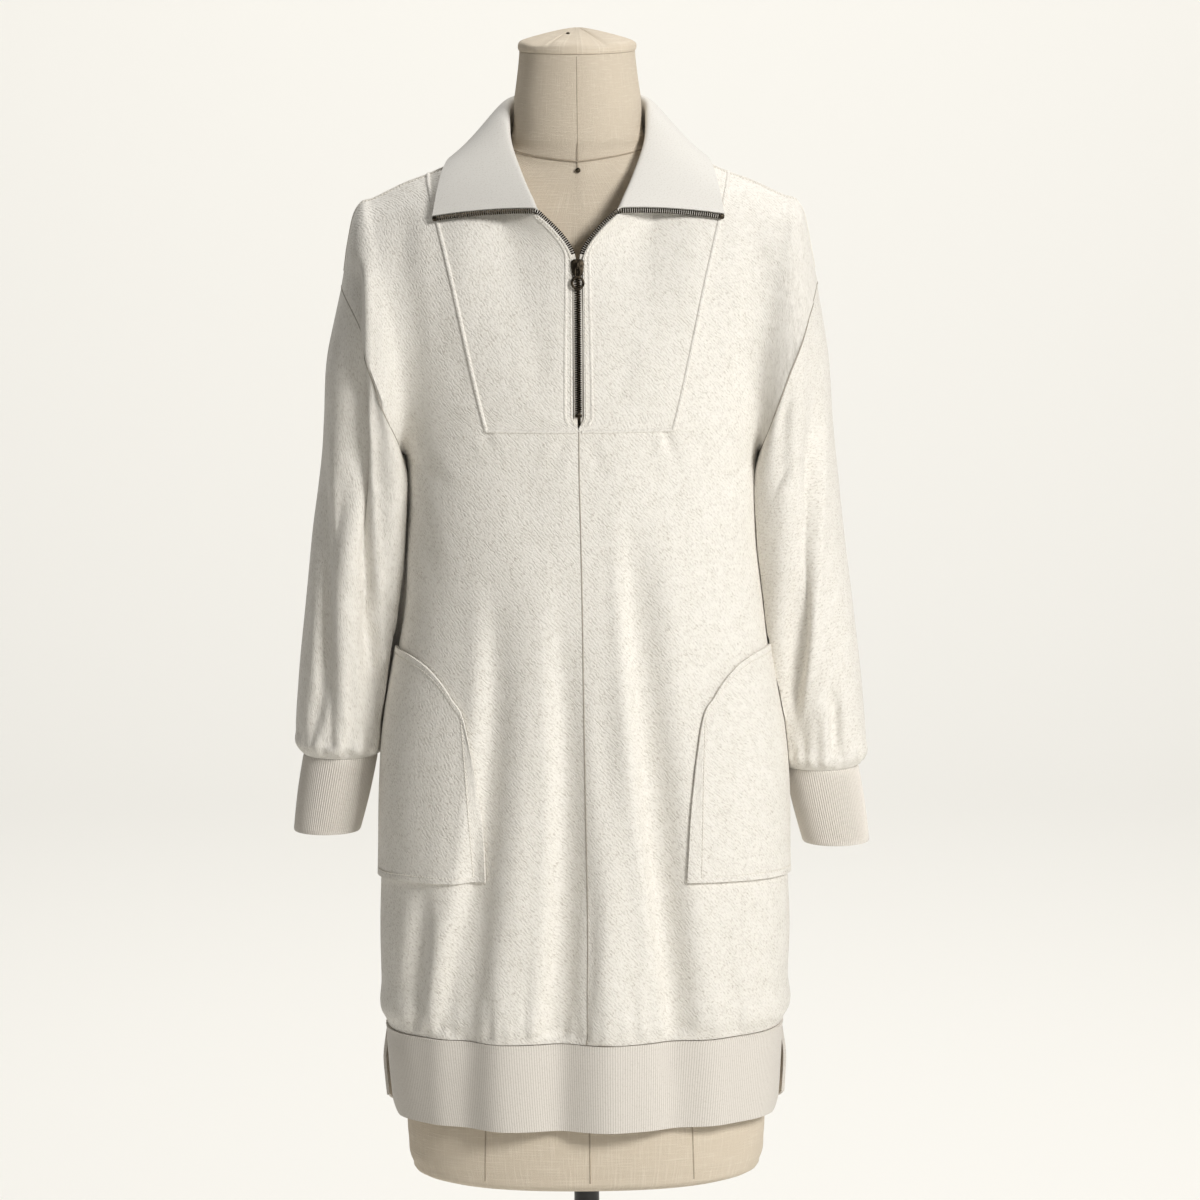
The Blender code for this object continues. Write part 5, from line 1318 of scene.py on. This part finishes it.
def plate(points_of_side, front_y, back_y, edge=0.0004):
    """Outline in x and z lofted from front_y to back_y, drawn in by the edge at both faces."""
    middle = points_of_side.mean(axis=0)
    reach = np.linalg.norm(points_of_side - middle, axis=1, keepdims=True)
    small = middle + (points_of_side - middle) * (1 - edge / reach)
    least = middle + (points_of_side - middle) * (1 - 0.35 * edge / reach)
    step = np.sign(back_y - front_y) * edge
    rings = [(small, front_y), (least, front_y + 0.3 * step), (points_of_side, front_y + step),
             (points_of_side, back_y - step), (least, back_y - 0.3 * step), (small, back_y)]
    return np.array([np.stack([p[:, 0], np.full(len(p), y), p[:, 1]], -1) for p, y in rings])


def joined(name, grids, axes, place, body="root"):
    """Several closed grids as one mesh, turned by three axes and moved to a place."""
    parts = [tube(f"{name}_{k}", grid @ axes + place) for k, grid in enumerate(grids)]
    with bpy.context.temp_override(active_object=parts[0], selected_editable_objects=parts,
                                   selected_objects=parts):
        bpy.ops.object.join()
    parts[0].name = name
    if body != "root":
        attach(parts[0], body)
    return parts[0]


def slider_outline(wide, narrow, half_height, count=40):
    """Rounded trapezium: a superellipse of power four whose width grows from narrow to wide upwards."""
    x, z = rounded(2 * math.pi * np.arange(count) / count, 0.5)
    return np.stack([x * (narrow + (wide - narrow) * (z + 1) / 2), z * half_height], -1)


def arch(width, thick, points):
    """Rounded bar carried along an arch in the plane x = 0."""
    path = smoothed(sampled(np.linspace(0, 1, 24), np.linspace(0, 1, len(points)), np.array(points)), 6)
    line = np.stack([0 * path[:, 0], path[:, 0], path[:, 1]], -1)
    side = np.tile([1.0, 0.0, 0.0], (len(line), 1))
    out = unit(np.cross(np.gradient(line, axis=0), side))
    return carried(line, out, oval(width, thick, BAR_POWER, 12), side)


slider_grids = [plate(slider_outline(0.0060, 0.0050, 0.0075), -0.0019, -0.0004),
                plate(slider_outline(0.0060, 0.0050, 0.0075), 0.0026, 0.0039),
                plate(slider_outline(0.0028, 0.0022, 0.0013) + [0, 0.0061], -0.0006, 0.0028),
                arch(0.0010, 0.00045, [(-0.0016, -0.0016), (-0.0032, -0.0016), (-0.00425, -0.0008),
                                       (-0.00425, 0.0016), (-0.00425, 0.0040), (-0.0032, 0.0046),
                                       (-0.0016, 0.0046)])]
zip_parts["zip_slider"] = joined("zip_slider_body", slider_grids, slider_axes, slider_place)


# %% Pull
def loop(path, width, thick):
    """Rounded bar carried round a closed path in x and z, doubled at its first point."""
    closed = np.concatenate([path, path[:1]])
    line = np.stack([closed[:, 0], 0 * closed[:, 0], closed[:, 1]], -1)
    run = np.gradient(line, axis=0)
    run[[0, -1]] = line[1] - line[-2]
    side = unit(np.cross(run, [0.0, 1.0, 0.0]))
    return carried(line, np.tile([0.0, 1.0, 0.0], (len(line), 1)), oval(width, thick, BAR_POWER, 12), side)


ring_path = oval(0.00505, 0.00505, 1.0, 48, middle=-0.0140)
stem_path = oval(0.00215, 0.0041, 0.35, 48, middle=-0.0041)
pull_place = slider_place + np.array([0.0, -0.00285, 0.00015]) @ slider_axes
zip_parts["pull_tab"] = joined("pull_tab_ring", [loop(stem_path, 0.00068, 0.00060),
                                                 loop(ring_path, 0.00120, 0.00065)],
                               slider_axes, pull_place, body="pull_tab")
for node, piece in zip_parts.items():
    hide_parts(node)
print("slider at, mm:", (1000 * slider_place).round(1), "| pull at, mm:", (1000 * pull_place).round(1))

# %% [markdown]
# ## The dress form
#
# The form is padded and covered with canvas, so it is one smooth turned shape with sewn lines: a seam round
# the neck, one down the middle and two beside it. Its sections are superellipses of changing power. Where
# the dress hides it, it is drawn 1.5 mm smaller, so that the finer cloth stays clear of it.

# %% Body of the form
def form_ring(z, angle, smaller=0.0):
    """Superellipse of the form at each height and angle, drawn in by a small distance."""
    half, forward, ahead, behind, power = np.moveaxis(curve(FORM_SECTIONS, z), -1, 0)
    half = half + 0.0030 * np.exp(-((z - 1.447) / 0.022) ** 2) - 0.0010 * smoothstep((z - 1.475) / 0.03)
    cosine, sine = rounded(angle, 2 / power)
    x = (half - smaller) * cosine
    y = (np.where(np.sin(angle) < 0, ahead, behind) - smaller) * sine
    return np.stack([x, y - forward, z + 0 * x], -1)


form_z = np.concatenate([[0.4760, 0.4768, 0.4780, 0.4795], np.linspace(0.482, 0.52, 14),
                         np.linspace(0.53, 1.36, 70), np.linspace(1.364, 1.5065, 72)])
hidden = 0.0015 * smoothstep((form_z - 0.60) / 0.04) * smoothstep((1.432 - form_z) / 0.012)
grid_angle, grid_z = np.meshgrid(2 * math.pi * np.arange(120) / 120, form_z)
form = {"form_body": tube("form_body_canvas", form_ring(grid_z, grid_angle, hidden[:, None]))}


def form_line(x_low, x_high, z):
    """Line down the front of the form whose x runs evenly between two values, found on its level sections."""
    x = x_high + (x_low - x_high) * (z[-1] - z) / (z[-1] - z[0])
    half, forward, ahead, _, power = np.moveaxis(curve(FORM_SECTIONS, z), -1, 0)
    share = np.clip(np.abs(x) / half, 0, 0.999)
    y = -ahead * (1 - share ** power) ** (1 / power) - forward
    line = np.stack([x, y, z], -1)
    out = unit(np.stack([share ** (power - 1) / half * np.sign(x),
                         -((-y - forward) / ahead) ** (power - 1) / ahead, 0 * z], -1))
    return line, out


# The sewn lines below, down the neck and round it, are thin rolls in the dark seam colour: painted shade in
# their grooves.
low_z = np.linspace(0.486, 0.60, 30)
for label, x_low, x_high in (("left", -0.092, -0.090), ("centre", 0.0035, 0.0030), ("right", 0.098, 0.095)):
    line, out = form_line(x_low, x_high, low_z)
    form[f"form_seam_{label}"] = roll(f"form_seam_{label}", line, out, 0.0007, 0.0003)
neck_z = np.linspace(1.404, 1.505, 30)
line, out = form_line(0.0, -0.0005, neck_z)
form["form_neck_seam"] = roll("form_neck_seam", line, out, 0.0004, 0.0002)
around = 2 * math.pi * np.arange(121) / 120
neck_height = 1.4115 + 0.0095 * np.abs(np.cos(around)) ** 1.5 + 0.012 * np.clip(np.sin(around), 0, 1)
ring = form_ring(neck_height, around)
ring_out = unit(np.stack([np.cos(around), np.sin(around), 0.6 + 0 * around], -1))
form["form_collar_seam"] = roll("form_collar_seam", ring, ring_out, 0.0006, 0.0003)
pin_place, pin_out = form_line(0.0, 0.0, np.array([1.4035, 1.4040]))
pin_frame = np.stack([pin_out[0], np.array([1.0, 0, 0]), np.cross(pin_out[0], [1.0, 0, 0])])[None]
PIN = bead((0.0023, 0.0023, 0.0016, 0.0005), (-0.0005, 0.0007, 0.0014, 0.0017), 12)
form["form_pin"] = scatter("form_pin", *PIN, pin_place[:1], pin_frame)

# %% Cap, pole and base
def turned(name, profile, sides, folds_of=None):
    """Profile of radius and height rows turned round the pole's axis."""
    profile = np.asarray(profile)
    angle, row = np.meshgrid(2 * math.pi * np.arange(sides) / sides, np.arange(len(profile)))
    radius, height = profile[row, 0], profile[row, 1]
    if folds_of is not None:
        radius, height = folds_of(angle, radius, height)
    return tube(name, np.stack([radius * np.cos(angle), radius * np.sin(angle), height], -1))


def cap_folds(angle, radius, height):
    """Six cloth panels: a sharp dip where the angle meets a panel's edge, and a few uneven soft pleats."""
    share = radius / 0.0545
    strength = smoothstep((height - 1.5125) / 0.003) * smoothstep((share - 0.03) / 0.15)
    edge = np.abs((angle * 6 / (2 * math.pi) + 0.5) % 1.0 - 0.5)
    dip = 0.0012 * np.exp(-(edge / 0.035) ** 2)
    pleats = 0.0007 * (np.sin(5 * angle + 0.8) + 0.6 * np.sin(11 * angle + 2.0))
    return radius, height - strength * (dip + pleats * np.clip(share, 0.2, 1.0))


cap_profile = [(0.0522, 1.5068), (0.0530, 1.5080), (0.0534, 1.5100), (0.0533, 1.5122), (0.0528, 1.5136),
               (0.0515, 1.5148), (0.0490, 1.5160), (0.0440, 1.5177), (0.0370, 1.5198), (0.0290, 1.5220),
               (0.0210, 1.5240), (0.0130, 1.5258), (0.0060, 1.5270), (0.0015, 1.5274)]
form["form_cap"] = turned("form_cap_canvas", cap_profile, 180, cap_folds)
nail_frame = np.array([[[0.0, -0.25, 0.97], [1.0, 0.0, 0.0], [0.0, 0.97, 0.25]]])
NAIL = bead((0.0014, 0.0016, 0.0012, 0.0004), (-0.0008, 0.0003, 0.0009, 0.0011), 12)
form["form_nail"] = scatter("form_nail", *NAIL, np.array([[-0.0080, -0.0230, 1.5236]]), nail_frame)
form["form_pole"] = turned("form_pole_tube", [(POLE_RADIUS, 0.0303), (POLE_RADIUS, 0.10), (POLE_RADIUS, 0.20),
                                              (POLE_RADIUS, 0.30), (POLE_RADIUS, FORM_BOTTOM_Z - SEAM_GAP)], 48)
base_profile = [(BASE_RADIUS - 0.001, 0.0), (BASE_RADIUS, 0.001), (BASE_RADIUS, 0.0075),
                (BASE_RADIUS - 0.0008, 0.0096), (BASE_RADIUS - 0.003, 0.0120), (BASE_RADIUS - 0.008, 0.0138),
                (0.110, 0.0166), (0.036, 0.0194), (0.030, 0.0204), (0.0255, 0.0232), (0.0235, 0.0270),
                (0.0225, 0.0292), (0.0215, 0.0300)]
form["form_base"] = turned("form_base_plate", base_profile, 120)
for node in ("form_body", "form_cap", "form_pole", "form_base"):
    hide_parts(node)
print("pieces of the form:", len(form))

# %% [markdown]
# ## Finishes: shared effects
#
# Heather yarn is light fibre spun with a few dark ones, and this fleece also has a fine diagonal twill. Both
# effects are used by several cloths, so each is a node group with its own inputs. They read the flat
# position of the cloth in metres, which every piece carries as its UV map, so the twill turns with a sleeve
# instead of sliding through it. Image textures would also do, but a procedural weave stays sharp close up.

# %% A small helper for shader trees
def node(tree, kind, at=(0, 0), **values):
    """Add one node; keys that are inputs are set or linked, and other keys are its settings."""
    new = tree.nodes.new(kind)
    new.location = at
    for key, value in values.items():
        if key.startswith("set_"):
            setattr(new, key[4:], value)
            continue
        numbered = key[0] == "i" and key[1:].isdigit()
        socket = new.inputs[int(key[1:]) if numbered else key.replace("_", " ")]
        if isinstance(value, bpy.types.NodeSocket):
            tree.links.new(value, socket)
        else:
            socket.default_value = value
    return new


def reckon(tree, operation, *values):
    """Output of one math node over sockets or numbers."""
    numbered = {f"i{k}": value for k, value in enumerate(values)}
    return node(tree, "ShaderNodeMath", set_operation=operation, **numbered).outputs[0]


def new_group(name, inputs, outputs):
    """An empty node group with its sockets; inputs give a kind and a starting value."""
    tree = bpy.data.node_groups.new(name, "ShaderNodeTree")
    for label, kind, value in inputs:
        socket = tree.interface.new_socket(label, in_out="INPUT", socket_type=kind)
        if value is not None:
            socket.default_value = value
    for label, kind in outputs:
        tree.interface.new_socket(label, in_out="OUTPUT", socket_type=kind)
    return tree, tree.nodes.new("NodeGroupInput"), tree.nodes.new("NodeGroupOutput")


# %% Heather fibres
heather, given, gives = new_group("heather fibres", [("Vector", "NodeSocketVector", None),
                                                     ("Fibre length", "NodeSocketFloat", 0.0016)],
                                  [("Specks", "NodeSocketFloat"), ("Cloud", "NodeSocketFloat"),
                                   ("Height", "NodeSocketFloat")])
one_over = reckon(heather, "DIVIDE", 1.0, given.outputs["Fibre length"])
parts = node(heather, "ShaderNodeSeparateXYZ", Vector=given.outputs["Vector"])
across = reckon(heather, "ADD", parts.outputs[0], parts.outputs[1])
down = reckon(heather, "SUBTRACT", parts.outputs[0], parts.outputs[1])
short = reckon(heather, "MULTIPLY", down, 0.42)
drawn = node(heather, "ShaderNodeCombineXYZ", i0=across, i1=short)
fine_noise = node(heather, "ShaderNodeTexNoise", Vector=drawn.outputs[0], Scale=one_over, Detail=3.0,
                  Roughness=0.62)
specks = node(heather, "ShaderNodeMapRange", Value=fine_noise.outputs[0], From_Min=0.53, From_Max=0.68)
cloud = node(heather, "ShaderNodeTexNoise", Vector=given.outputs["Vector"], Scale=55.0, Detail=4.0,
             Roughness=0.6)
heather.links.new(specks.outputs[0], gives.inputs["Specks"])
heather.links.new(cloud.outputs[0], gives.inputs["Cloud"])
heather.links.new(fine_noise.outputs[0], gives.inputs["Height"])

# %% Diagonal twill
twill, given, gives = new_group("diagonal twill", [("Vector", "NodeSocketVector", None),
                                                   ("Pitch", "NodeSocketFloat", 0.0032),
                                                   ("Waver", "NodeSocketFloat", 0.35)],
                                [("Lines", "NodeSocketFloat")])
parts = node(twill, "ShaderNodeSeparateXYZ", Vector=given.outputs["Vector"])
slope = reckon(twill, "MULTIPLY_ADD", parts.outputs[1], 0.9, parts.outputs[0])
turns = reckon(twill, "DIVIDE", slope, given.outputs["Pitch"])
waver = node(twill, "ShaderNodeTexNoise", Vector=given.outputs["Vector"], Scale=260.0, Detail=2.0)
shifted = reckon(twill, "MULTIPLY_ADD", waver.outputs[0], given.outputs["Waver"], turns)
sine = reckon(twill, "SINE", reckon(twill, "MULTIPLY", shifted, 4.52))
lines = node(twill, "ShaderNodeMapRange", Value=sine, From_Min=-0.6, From_Max=1.0)
worn = node(twill, "ShaderNodeTexNoise", Vector=given.outputs["Vector"], Scale=150.0, Detail=3.0,
            Roughness=0.65)
strength = node(twill, "ShaderNodeMapRange", Value=worn.outputs[0], From_Min=0.38, From_Max=0.62)
broken = reckon(twill, "MULTIPLY", lines.outputs[0], strength.outputs[0])
twill.links.new(broken, gives.inputs["Lines"])

# %% Plain weave with slubs
weave, given, gives = new_group("slubbed weave", [("Vector", "NodeSocketVector", None),
                                                  ("Thread", "NodeSocketFloat", 0.0009)],
                                [("Threads", "NodeSocketFloat"), ("Slubs", "NodeSocketFloat")])
parts = node(weave, "ShaderNodeSeparateXYZ", Vector=given.outputs["Vector"])
sines = []
for k in (0, 1):
    turns = reckon(weave, "DIVIDE", parts.outputs[k], given.outputs["Thread"])
    sines.append(reckon(weave, "SINE", reckon(weave, "MULTIPLY", turns, 2 * math.pi)))
crossed = reckon(weave, "MULTIPLY", *sines)
threads = node(weave, "ShaderNodeMapRange", Value=crossed, From_Min=-1.0, From_Max=1.0)
slub_sides = []
for scale in ((1.0, 0.06, 1.0), (0.06, 1.0, 1.0)):
    drawn = node(weave, "ShaderNodeMapping", Vector=given.outputs["Vector"], Scale=scale)
    slub = node(weave, "ShaderNodeTexNoise", Vector=drawn.outputs[0], Scale=620.0, Detail=2.0)
    slub_sides.append(node(weave, "ShaderNodeMapRange", Value=slub.outputs[0], From_Min=0.50,
                           From_Max=0.78).outputs[0])
slubs = reckon(weave, "ADD", *slub_sides)
weave.links.new(threads.outputs[0], gives.inputs["Threads"])
weave.links.new(slubs, gives.inputs["Slubs"])
print("node groups:", [g.name for g in bpy.data.node_groups])

# %% [markdown]
# ## Finishes: the materials
#
# Every material keeps its own Principled shader with the constant values on its sockets, and takes only
# changing masks and heights from the groups. A matt knit wants a high roughness, a little sheen for its
# raised fibres, and a bump of a fraction of a millimetre.

# %% Helpers for materials
def new_material(name, roughness, sheen=0.0, metallic=0.0, colour=(0.8, 0.8, 0.8)):
    """A material with a Principled shader and its constant values."""
    made_material = bpy.data.materials.new(name)
    made_material.use_nodes = True
    made_material.diffuse_color = (*colour, 1)
    shader = made_material.node_tree.nodes["Principled BSDF"]
    shader.inputs["Base Color"].default_value = (*colour, 1)
    shader.inputs["Roughness"].default_value = roughness
    shader.inputs["Metallic"].default_value = metallic
    if sheen:
        shader.inputs["Sheen Weight"].default_value = sheen
        shader.inputs["Sheen Roughness"].default_value = 0.5
    return made_material, made_material.node_tree, shader


def placed_group(tree, group, **values):
    """One group in a material with its own values."""
    new = tree.nodes.new("ShaderNodeGroup")
    new.node_tree = group
    for key, value in values.items():
        socket = new.inputs[key.replace("_", " ")]
        if isinstance(value, bpy.types.NodeSocket):
            tree.links.new(value, socket)
        else:
            socket.default_value = value
    return new


def mix(tree, share, low, high):
    """Colour between low and high; each is a colour or a socket."""
    new = tree.nodes.new("ShaderNodeMix")
    new.data_type = "RGBA"
    for socket, value in ((new.inputs[0], share), (new.inputs[6], low), (new.inputs[7], high)):
        if isinstance(value, bpy.types.NodeSocket):
            tree.links.new(value, socket)
        else:
            socket.default_value = (*value, 1) if isinstance(value, tuple) else value
    return new.outputs[2]


def part_of(tree, value, factor):
    """A socket times a number."""
    return reckon(tree, "MULTIPLY", value, factor)


def add_up(tree, a, b):
    """Sum of two sockets."""
    return reckon(tree, "ADD", a, b)


def bump(tree, shader, height, strength, distance):
    """A bump from a height socket, sent to the shader's normal."""
    new = node(tree, "ShaderNodeBump", Strength=strength, Distance=distance, Height=height)
    tree.links.new(new.outputs[0], shader.inputs["Normal"])


def flat_place(tree):
    """The flat position of the cloth, from its UV map."""
    return node(tree, "ShaderNodeUVMap", set_uv_map="UVMap").outputs[0]


def solid_place(tree):
    """The position in the piece's own space."""
    return node(tree, "ShaderNodeTexCoord").outputs["Object"]


def paint(tree, shader, colour):
    """Send a colour socket to the shader."""
    tree.links.new(colour, shader.inputs["Base Color"])


def mottled(name, roughness, colour, scale, detail, dark, light, sheen=0.0):
    """A material that wavers between two tones by a noise in the piece's own space."""
    new, tree, shader = new_material(name, roughness, sheen, colour=colour)
    noise = node(tree, "ShaderNodeTexNoise", Vector=solid_place(tree), Scale=scale, Detail=detail)
    paint(tree, shader, mix(tree, noise.outputs[0], dark, light))
    return new


# %% Fleece, smooth knit and rib
CREAM = (0.815, 0.785, 0.720)
FIBRE = (0.420, 0.365, 0.305)
fleece, tree, shader = new_material("heather fleece", 0.95, 0.12, colour=CREAM)
flat = flat_place(tree)
yarn = placed_group(tree, heather, Vector=flat, Fibre_length=0.0021)
diagonal = placed_group(tree, twill, Vector=flat, Pitch=0.0027, Waver=2.6)
colour = mix(tree, part_of(tree, yarn.outputs["Specks"], 0.70), CREAM, FIBRE)
colour = mix(tree, part_of(tree, diagonal.outputs["Lines"], 0.42), colour, (0.60, 0.555, 0.485))
cloudy = node(tree, "ShaderNodeMapRange", Value=yarn.outputs["Cloud"], From_Min=0.35, From_Max=0.7, To_Max=0.45)
colour = mix(tree, cloudy.outputs[0], colour, (0.87, 0.84, 0.785))
paint(tree, shader, colour)
relief = add_up(tree, part_of(tree, yarn.outputs["Height"], 0.7),
                part_of(tree, diagonal.outputs["Lines"], -0.45))
bump(tree, shader, relief, 0.75, 0.0010)

knit, tree, shader = new_material("smooth knit", 0.92, 0.12, colour=(0.72, 0.70, 0.655))
flat = flat_place(tree)
yarn = placed_group(tree, heather, Vector=flat, Fibre_length=0.0012)
colour = mix(tree, part_of(tree, yarn.outputs["Specks"], 0.45), (0.72, 0.70, 0.655), (0.48, 0.44, 0.385))
paint(tree, shader, colour)
relief = add_up(tree, yarn.outputs["Height"], part_of(tree, yarn.outputs["Cloud"], 0.6))
bump(tree, shader, relief, 0.35, 0.0005)

rib, tree, shader = new_material("rib knit", 0.95, 0.10, colour=(0.75, 0.71, 0.65))
flat = flat_place(tree)
yarn = placed_group(tree, heather, Vector=flat, Fibre_length=0.0014)
colour = mix(tree, part_of(tree, yarn.outputs["Specks"], 0.35), (0.75, 0.71, 0.65), FIBRE)
parts = node(tree, "ShaderNodeSeparateXYZ", Vector=flat)
# The grooves between the wales are painted darker: painted shade in the recesses, beside the real relief of the
# wales.
wale = reckon(tree, "COSINE", reckon(tree, "MULTIPLY", parts.outputs[0], 2 * math.pi / WALE))
painted_groove_shade = node(tree, "ShaderNodeMapRange", Value=wale, From_Min=0.3, From_Max=-1.0, To_Max=0.55)
colour = mix(tree, painted_groove_shade.outputs[0], colour, (0.44, 0.395, 0.335))
paint(tree, shader, colour)
bump(tree, shader, yarn.outputs["Height"], 0.45, 0.0005)

# %% Thread, tape, canvas
thread = mottled("cream thread", 0.8, (0.80, 0.76, 0.68), 1800.0, 1.0,
                 (0.70, 0.66, 0.58), (0.86, 0.83, 0.76), sheen=0.1)

tape, tree, shader = new_material("woven tape", 0.85, 0.05, colour=(0.80, 0.76, 0.69))
flat = flat_place(tree)
woven = placed_group(tree, weave, Vector=flat, Thread=0.0005)
paint(tree, shader, mix(tree, woven.outputs["Threads"], (0.72, 0.68, 0.61), (0.86, 0.82, 0.75)))
bump(tree, shader, woven.outputs["Threads"], 0.5, 0.0002)

canvas, tree, shader = new_material("slubbed canvas", 0.9, 0.05, colour=(0.62, 0.54, 0.42))
flat = flat_place(tree)
woven = placed_group(tree, weave, Vector=flat, Thread=0.0010)
colour = mix(tree, woven.outputs["Threads"], (0.62, 0.525, 0.40), (0.76, 0.665, 0.535))
colour = mix(tree, part_of(tree, woven.outputs["Slubs"], 0.40), colour, (0.84, 0.76, 0.63))
paint(tree, shader, colour)
relief = add_up(tree, woven.outputs["Threads"], part_of(tree, woven.outputs["Slubs"], 1.3))
bump(tree, shader, relief, 0.6, 0.0004)

# Dark mottled colour for the thin rolls on the form's seams: painted shade in the grooves of its sewn lines.
painted_seam_groove_shade = mottled("sewn line of the form", 0.9, (0.20, 0.155, 0.105), 240.0, 3.0,
                    (0.30, 0.24, 0.17), (0.50, 0.42, 0.32))
# Dark mottled colour for the thin rolls on the centre front seam and the armhole seams: painted shade where
# those seams dip in.
seam_shade = mottled("shaded seam", 0.95, (0.36, 0.32, 0.27), 160.0, 3.0,
                     (0.24, 0.21, 0.17), (0.52, 0.48, 0.42))

# %% Aged brass and black enamel
brass, tree, shader = new_material("aged brass", 0.42, metallic=1.0, colour=(0.16, 0.12, 0.08))
place = solid_place(tree)
worn = node(tree, "ShaderNodeTexNoise", Vector=place, Scale=420.0, Detail=4.0, Roughness=0.65)
patches = node(tree, "ShaderNodeMapRange", Value=worn.outputs[0], From_Min=0.35, From_Max=0.7)
paint(tree, shader, mix(tree, patches.outputs[0], (0.017, 0.014, 0.011), (0.11, 0.088, 0.060)))
rough = node(tree, "ShaderNodeMapRange", Value=worn.outputs[0], From_Min=0.3, From_Max=0.7,
             To_Min=0.32, To_Max=0.55)
tree.links.new(rough.outputs[0], shader.inputs["Roughness"])
bump(tree, shader, worn.outputs[0], 0.15, 0.0002)

enamel, tree, shader = new_material("black enamel", 0.38, colour=(0.02, 0.02, 0.02))
place = solid_place(tree)
orange = node(tree, "ShaderNodeTexNoise", Vector=place, Scale=380.0, Detail=2.0)
paint(tree, shader, mix(tree, orange.outputs[0], (0.014, 0.014, 0.015), (0.030, 0.029, 0.028)))
rough = node(tree, "ShaderNodeMapRange", Value=orange.outputs[0], From_Min=0.3, From_Max=0.7,
             To_Min=0.32, To_Max=0.46)
tree.links.new(rough.outputs[0], shader.inputs["Roughness"])
bump(tree, shader, orange.outputs[0], 0.08, 0.0003)

# %% Give every piece its finish
FINISH = {"collar": (knit, "smooth_knit"), "cuff": (rib, "rib_knit"), "hem": (rib, "rib_knit")}
for name, piece in made.items():
    finish, slot = FINISH.get(name.split("_")[0], (fleece, "fleece"))
    piece.data.materials.append(finish)
# The rolls on the centre seam and the armholes take the painted seam shade.
for name, piece in trims.items():
    piece.data.materials.append(thread if name.startswith("stitches") else
                                seam_shade if name == "centre_seam" or "armhole" in name else fleece)
for name, piece in zip_parts.items():
    piece.data.materials.append(tape if "tape" in name else brass)
# The seams of the form take the painted seam shade.
for name, piece in form.items():
    finish, slot = ((enamel, "black_enamel") if name in ("form_pole", "form_base") else
                    (brass, "aged_brass") if name in ("form_nail", "form_pin") else
                    (painted_seam_groove_shade, "canvas") if "seam" in name else (canvas, "canvas"))
    piece.data.materials.append(finish)

# %% [markdown]
# ## Camera, floor and light
#
# The photograph was taken from the front and a little above, from far away, so that upright lines stay
# upright. The camera stands 6 m off with a long lens. The light is soft and comes from the viewer's right,
# with a pale room filling in the rest.

# %% Camera
TARGET = Vector((0.0166, 0.0, 1.007))
DISTANCE, ELEVATION, ROLL = 6.0, math.radians(8.7), math.atan(0.008)
camera_data = bpy.data.cameras.new("camera")
camera_data.sensor_width = 36.0
camera_data.lens = 197.8
camera_data.clip_end = 100.0
camera = bpy.data.objects.new("camera", camera_data)
bpy.context.scene.collection.objects.link(camera)
turn_up = Matrix.Rotation(math.pi / 2 - ELEVATION, 4, "X") @ Matrix.Rotation(-ROLL, 4, "Z")
camera.matrix_world = Matrix.Translation(TARGET + Vector((0, -math.cos(ELEVATION), math.sin(ELEVATION)))
                                         * DISTANCE) @ turn_up
bpy.context.scene.camera = camera

# %% Floor and backdrop in one sweep
# The curve starts far enough back that a camera 6 m behind the dress still stands clear of it.
CURVE_Y, CURVE_RADIUS = 4.4, 2.5
bend = np.linspace(0.06, 1.16, 20)
sweep_y = np.concatenate([np.linspace(-9, CURVE_Y, 14), CURVE_Y + CURVE_RADIUS * np.sin(bend)])
sweep_z = np.concatenate([np.zeros(14), CURVE_RADIUS - CURVE_RADIUS * np.cos(bend)])
sweep_x = np.linspace(-8, 8, 9)
grid = np.stack(np.broadcast_arrays(sweep_x[None, :], sweep_y[:, None], sweep_z[:, None]), -1)
ids = np.arange(grid.shape[0] * 9).reshape(-1, 9)
cells = grid_cells(ids).reshape(-1, 4)
sweep_mesh = bpy.data.meshes.new("studio_floor")
sweep_mesh.from_pydata(grid.reshape(-1, 3).tolist(), [], cells.tolist())
sweep_mesh.shade_smooth()
studio_floor = bpy.data.objects.new("studio_floor", sweep_mesh)
bpy.context.scene.collection.objects.link(studio_floor)
pale, tree, shader = new_material("pale floor", 0.9, colour=(0.95, 0.935, 0.89))
sweep_mesh.materials.append(pale)

# %% Lights
def area_light(name, place, towards, size, power, colour):
    """A square light of one size that faces a point."""
    data = bpy.data.lights.new(name, "AREA")
    data.size, data.energy, data.color = size, power, colour
    light = bpy.data.objects.new(name, data)
    light.location = place
    light.rotation_euler = (Vector(towards) - Vector(place)).to_track_quat("-Z", "Y").to_euler()
    bpy.context.scene.collection.objects.link(light)


area_light("window_right", (2.75, -3.4, 3.3), (0, 0, 1.1), 1.3, 206.0, (1.0, 0.99, 0.975))
area_light("room_left", (-4.5, -2.0, 2.6), (0, 0, 1.0), 3.0, 4.0, (1.0, 0.97, 0.93))
area_light("backdrop_wash", (0.0, 2.6, 5.6), (0, 5.0, 0.0), 4.0, 262.0, (1.0, 0.99, 0.97))
world = bpy.data.worlds.new("pale room")
world.use_nodes = True
world.node_tree.nodes["Background"].inputs[0].default_value = (1.0, 0.985, 0.955, 1)
world.node_tree.nodes["Background"].inputs[1].default_value = 0.14
bpy.context.scene.world = world
bpy.context.scene.view_settings.view_transform = "Standard"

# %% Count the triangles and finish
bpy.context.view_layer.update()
triangles = sum(sum(len(p.vertices) - 2 for p in o.data.polygons)
                for group in (made, trims, zip_parts, form) for o in group.values())
print("triangles added:", triangles)
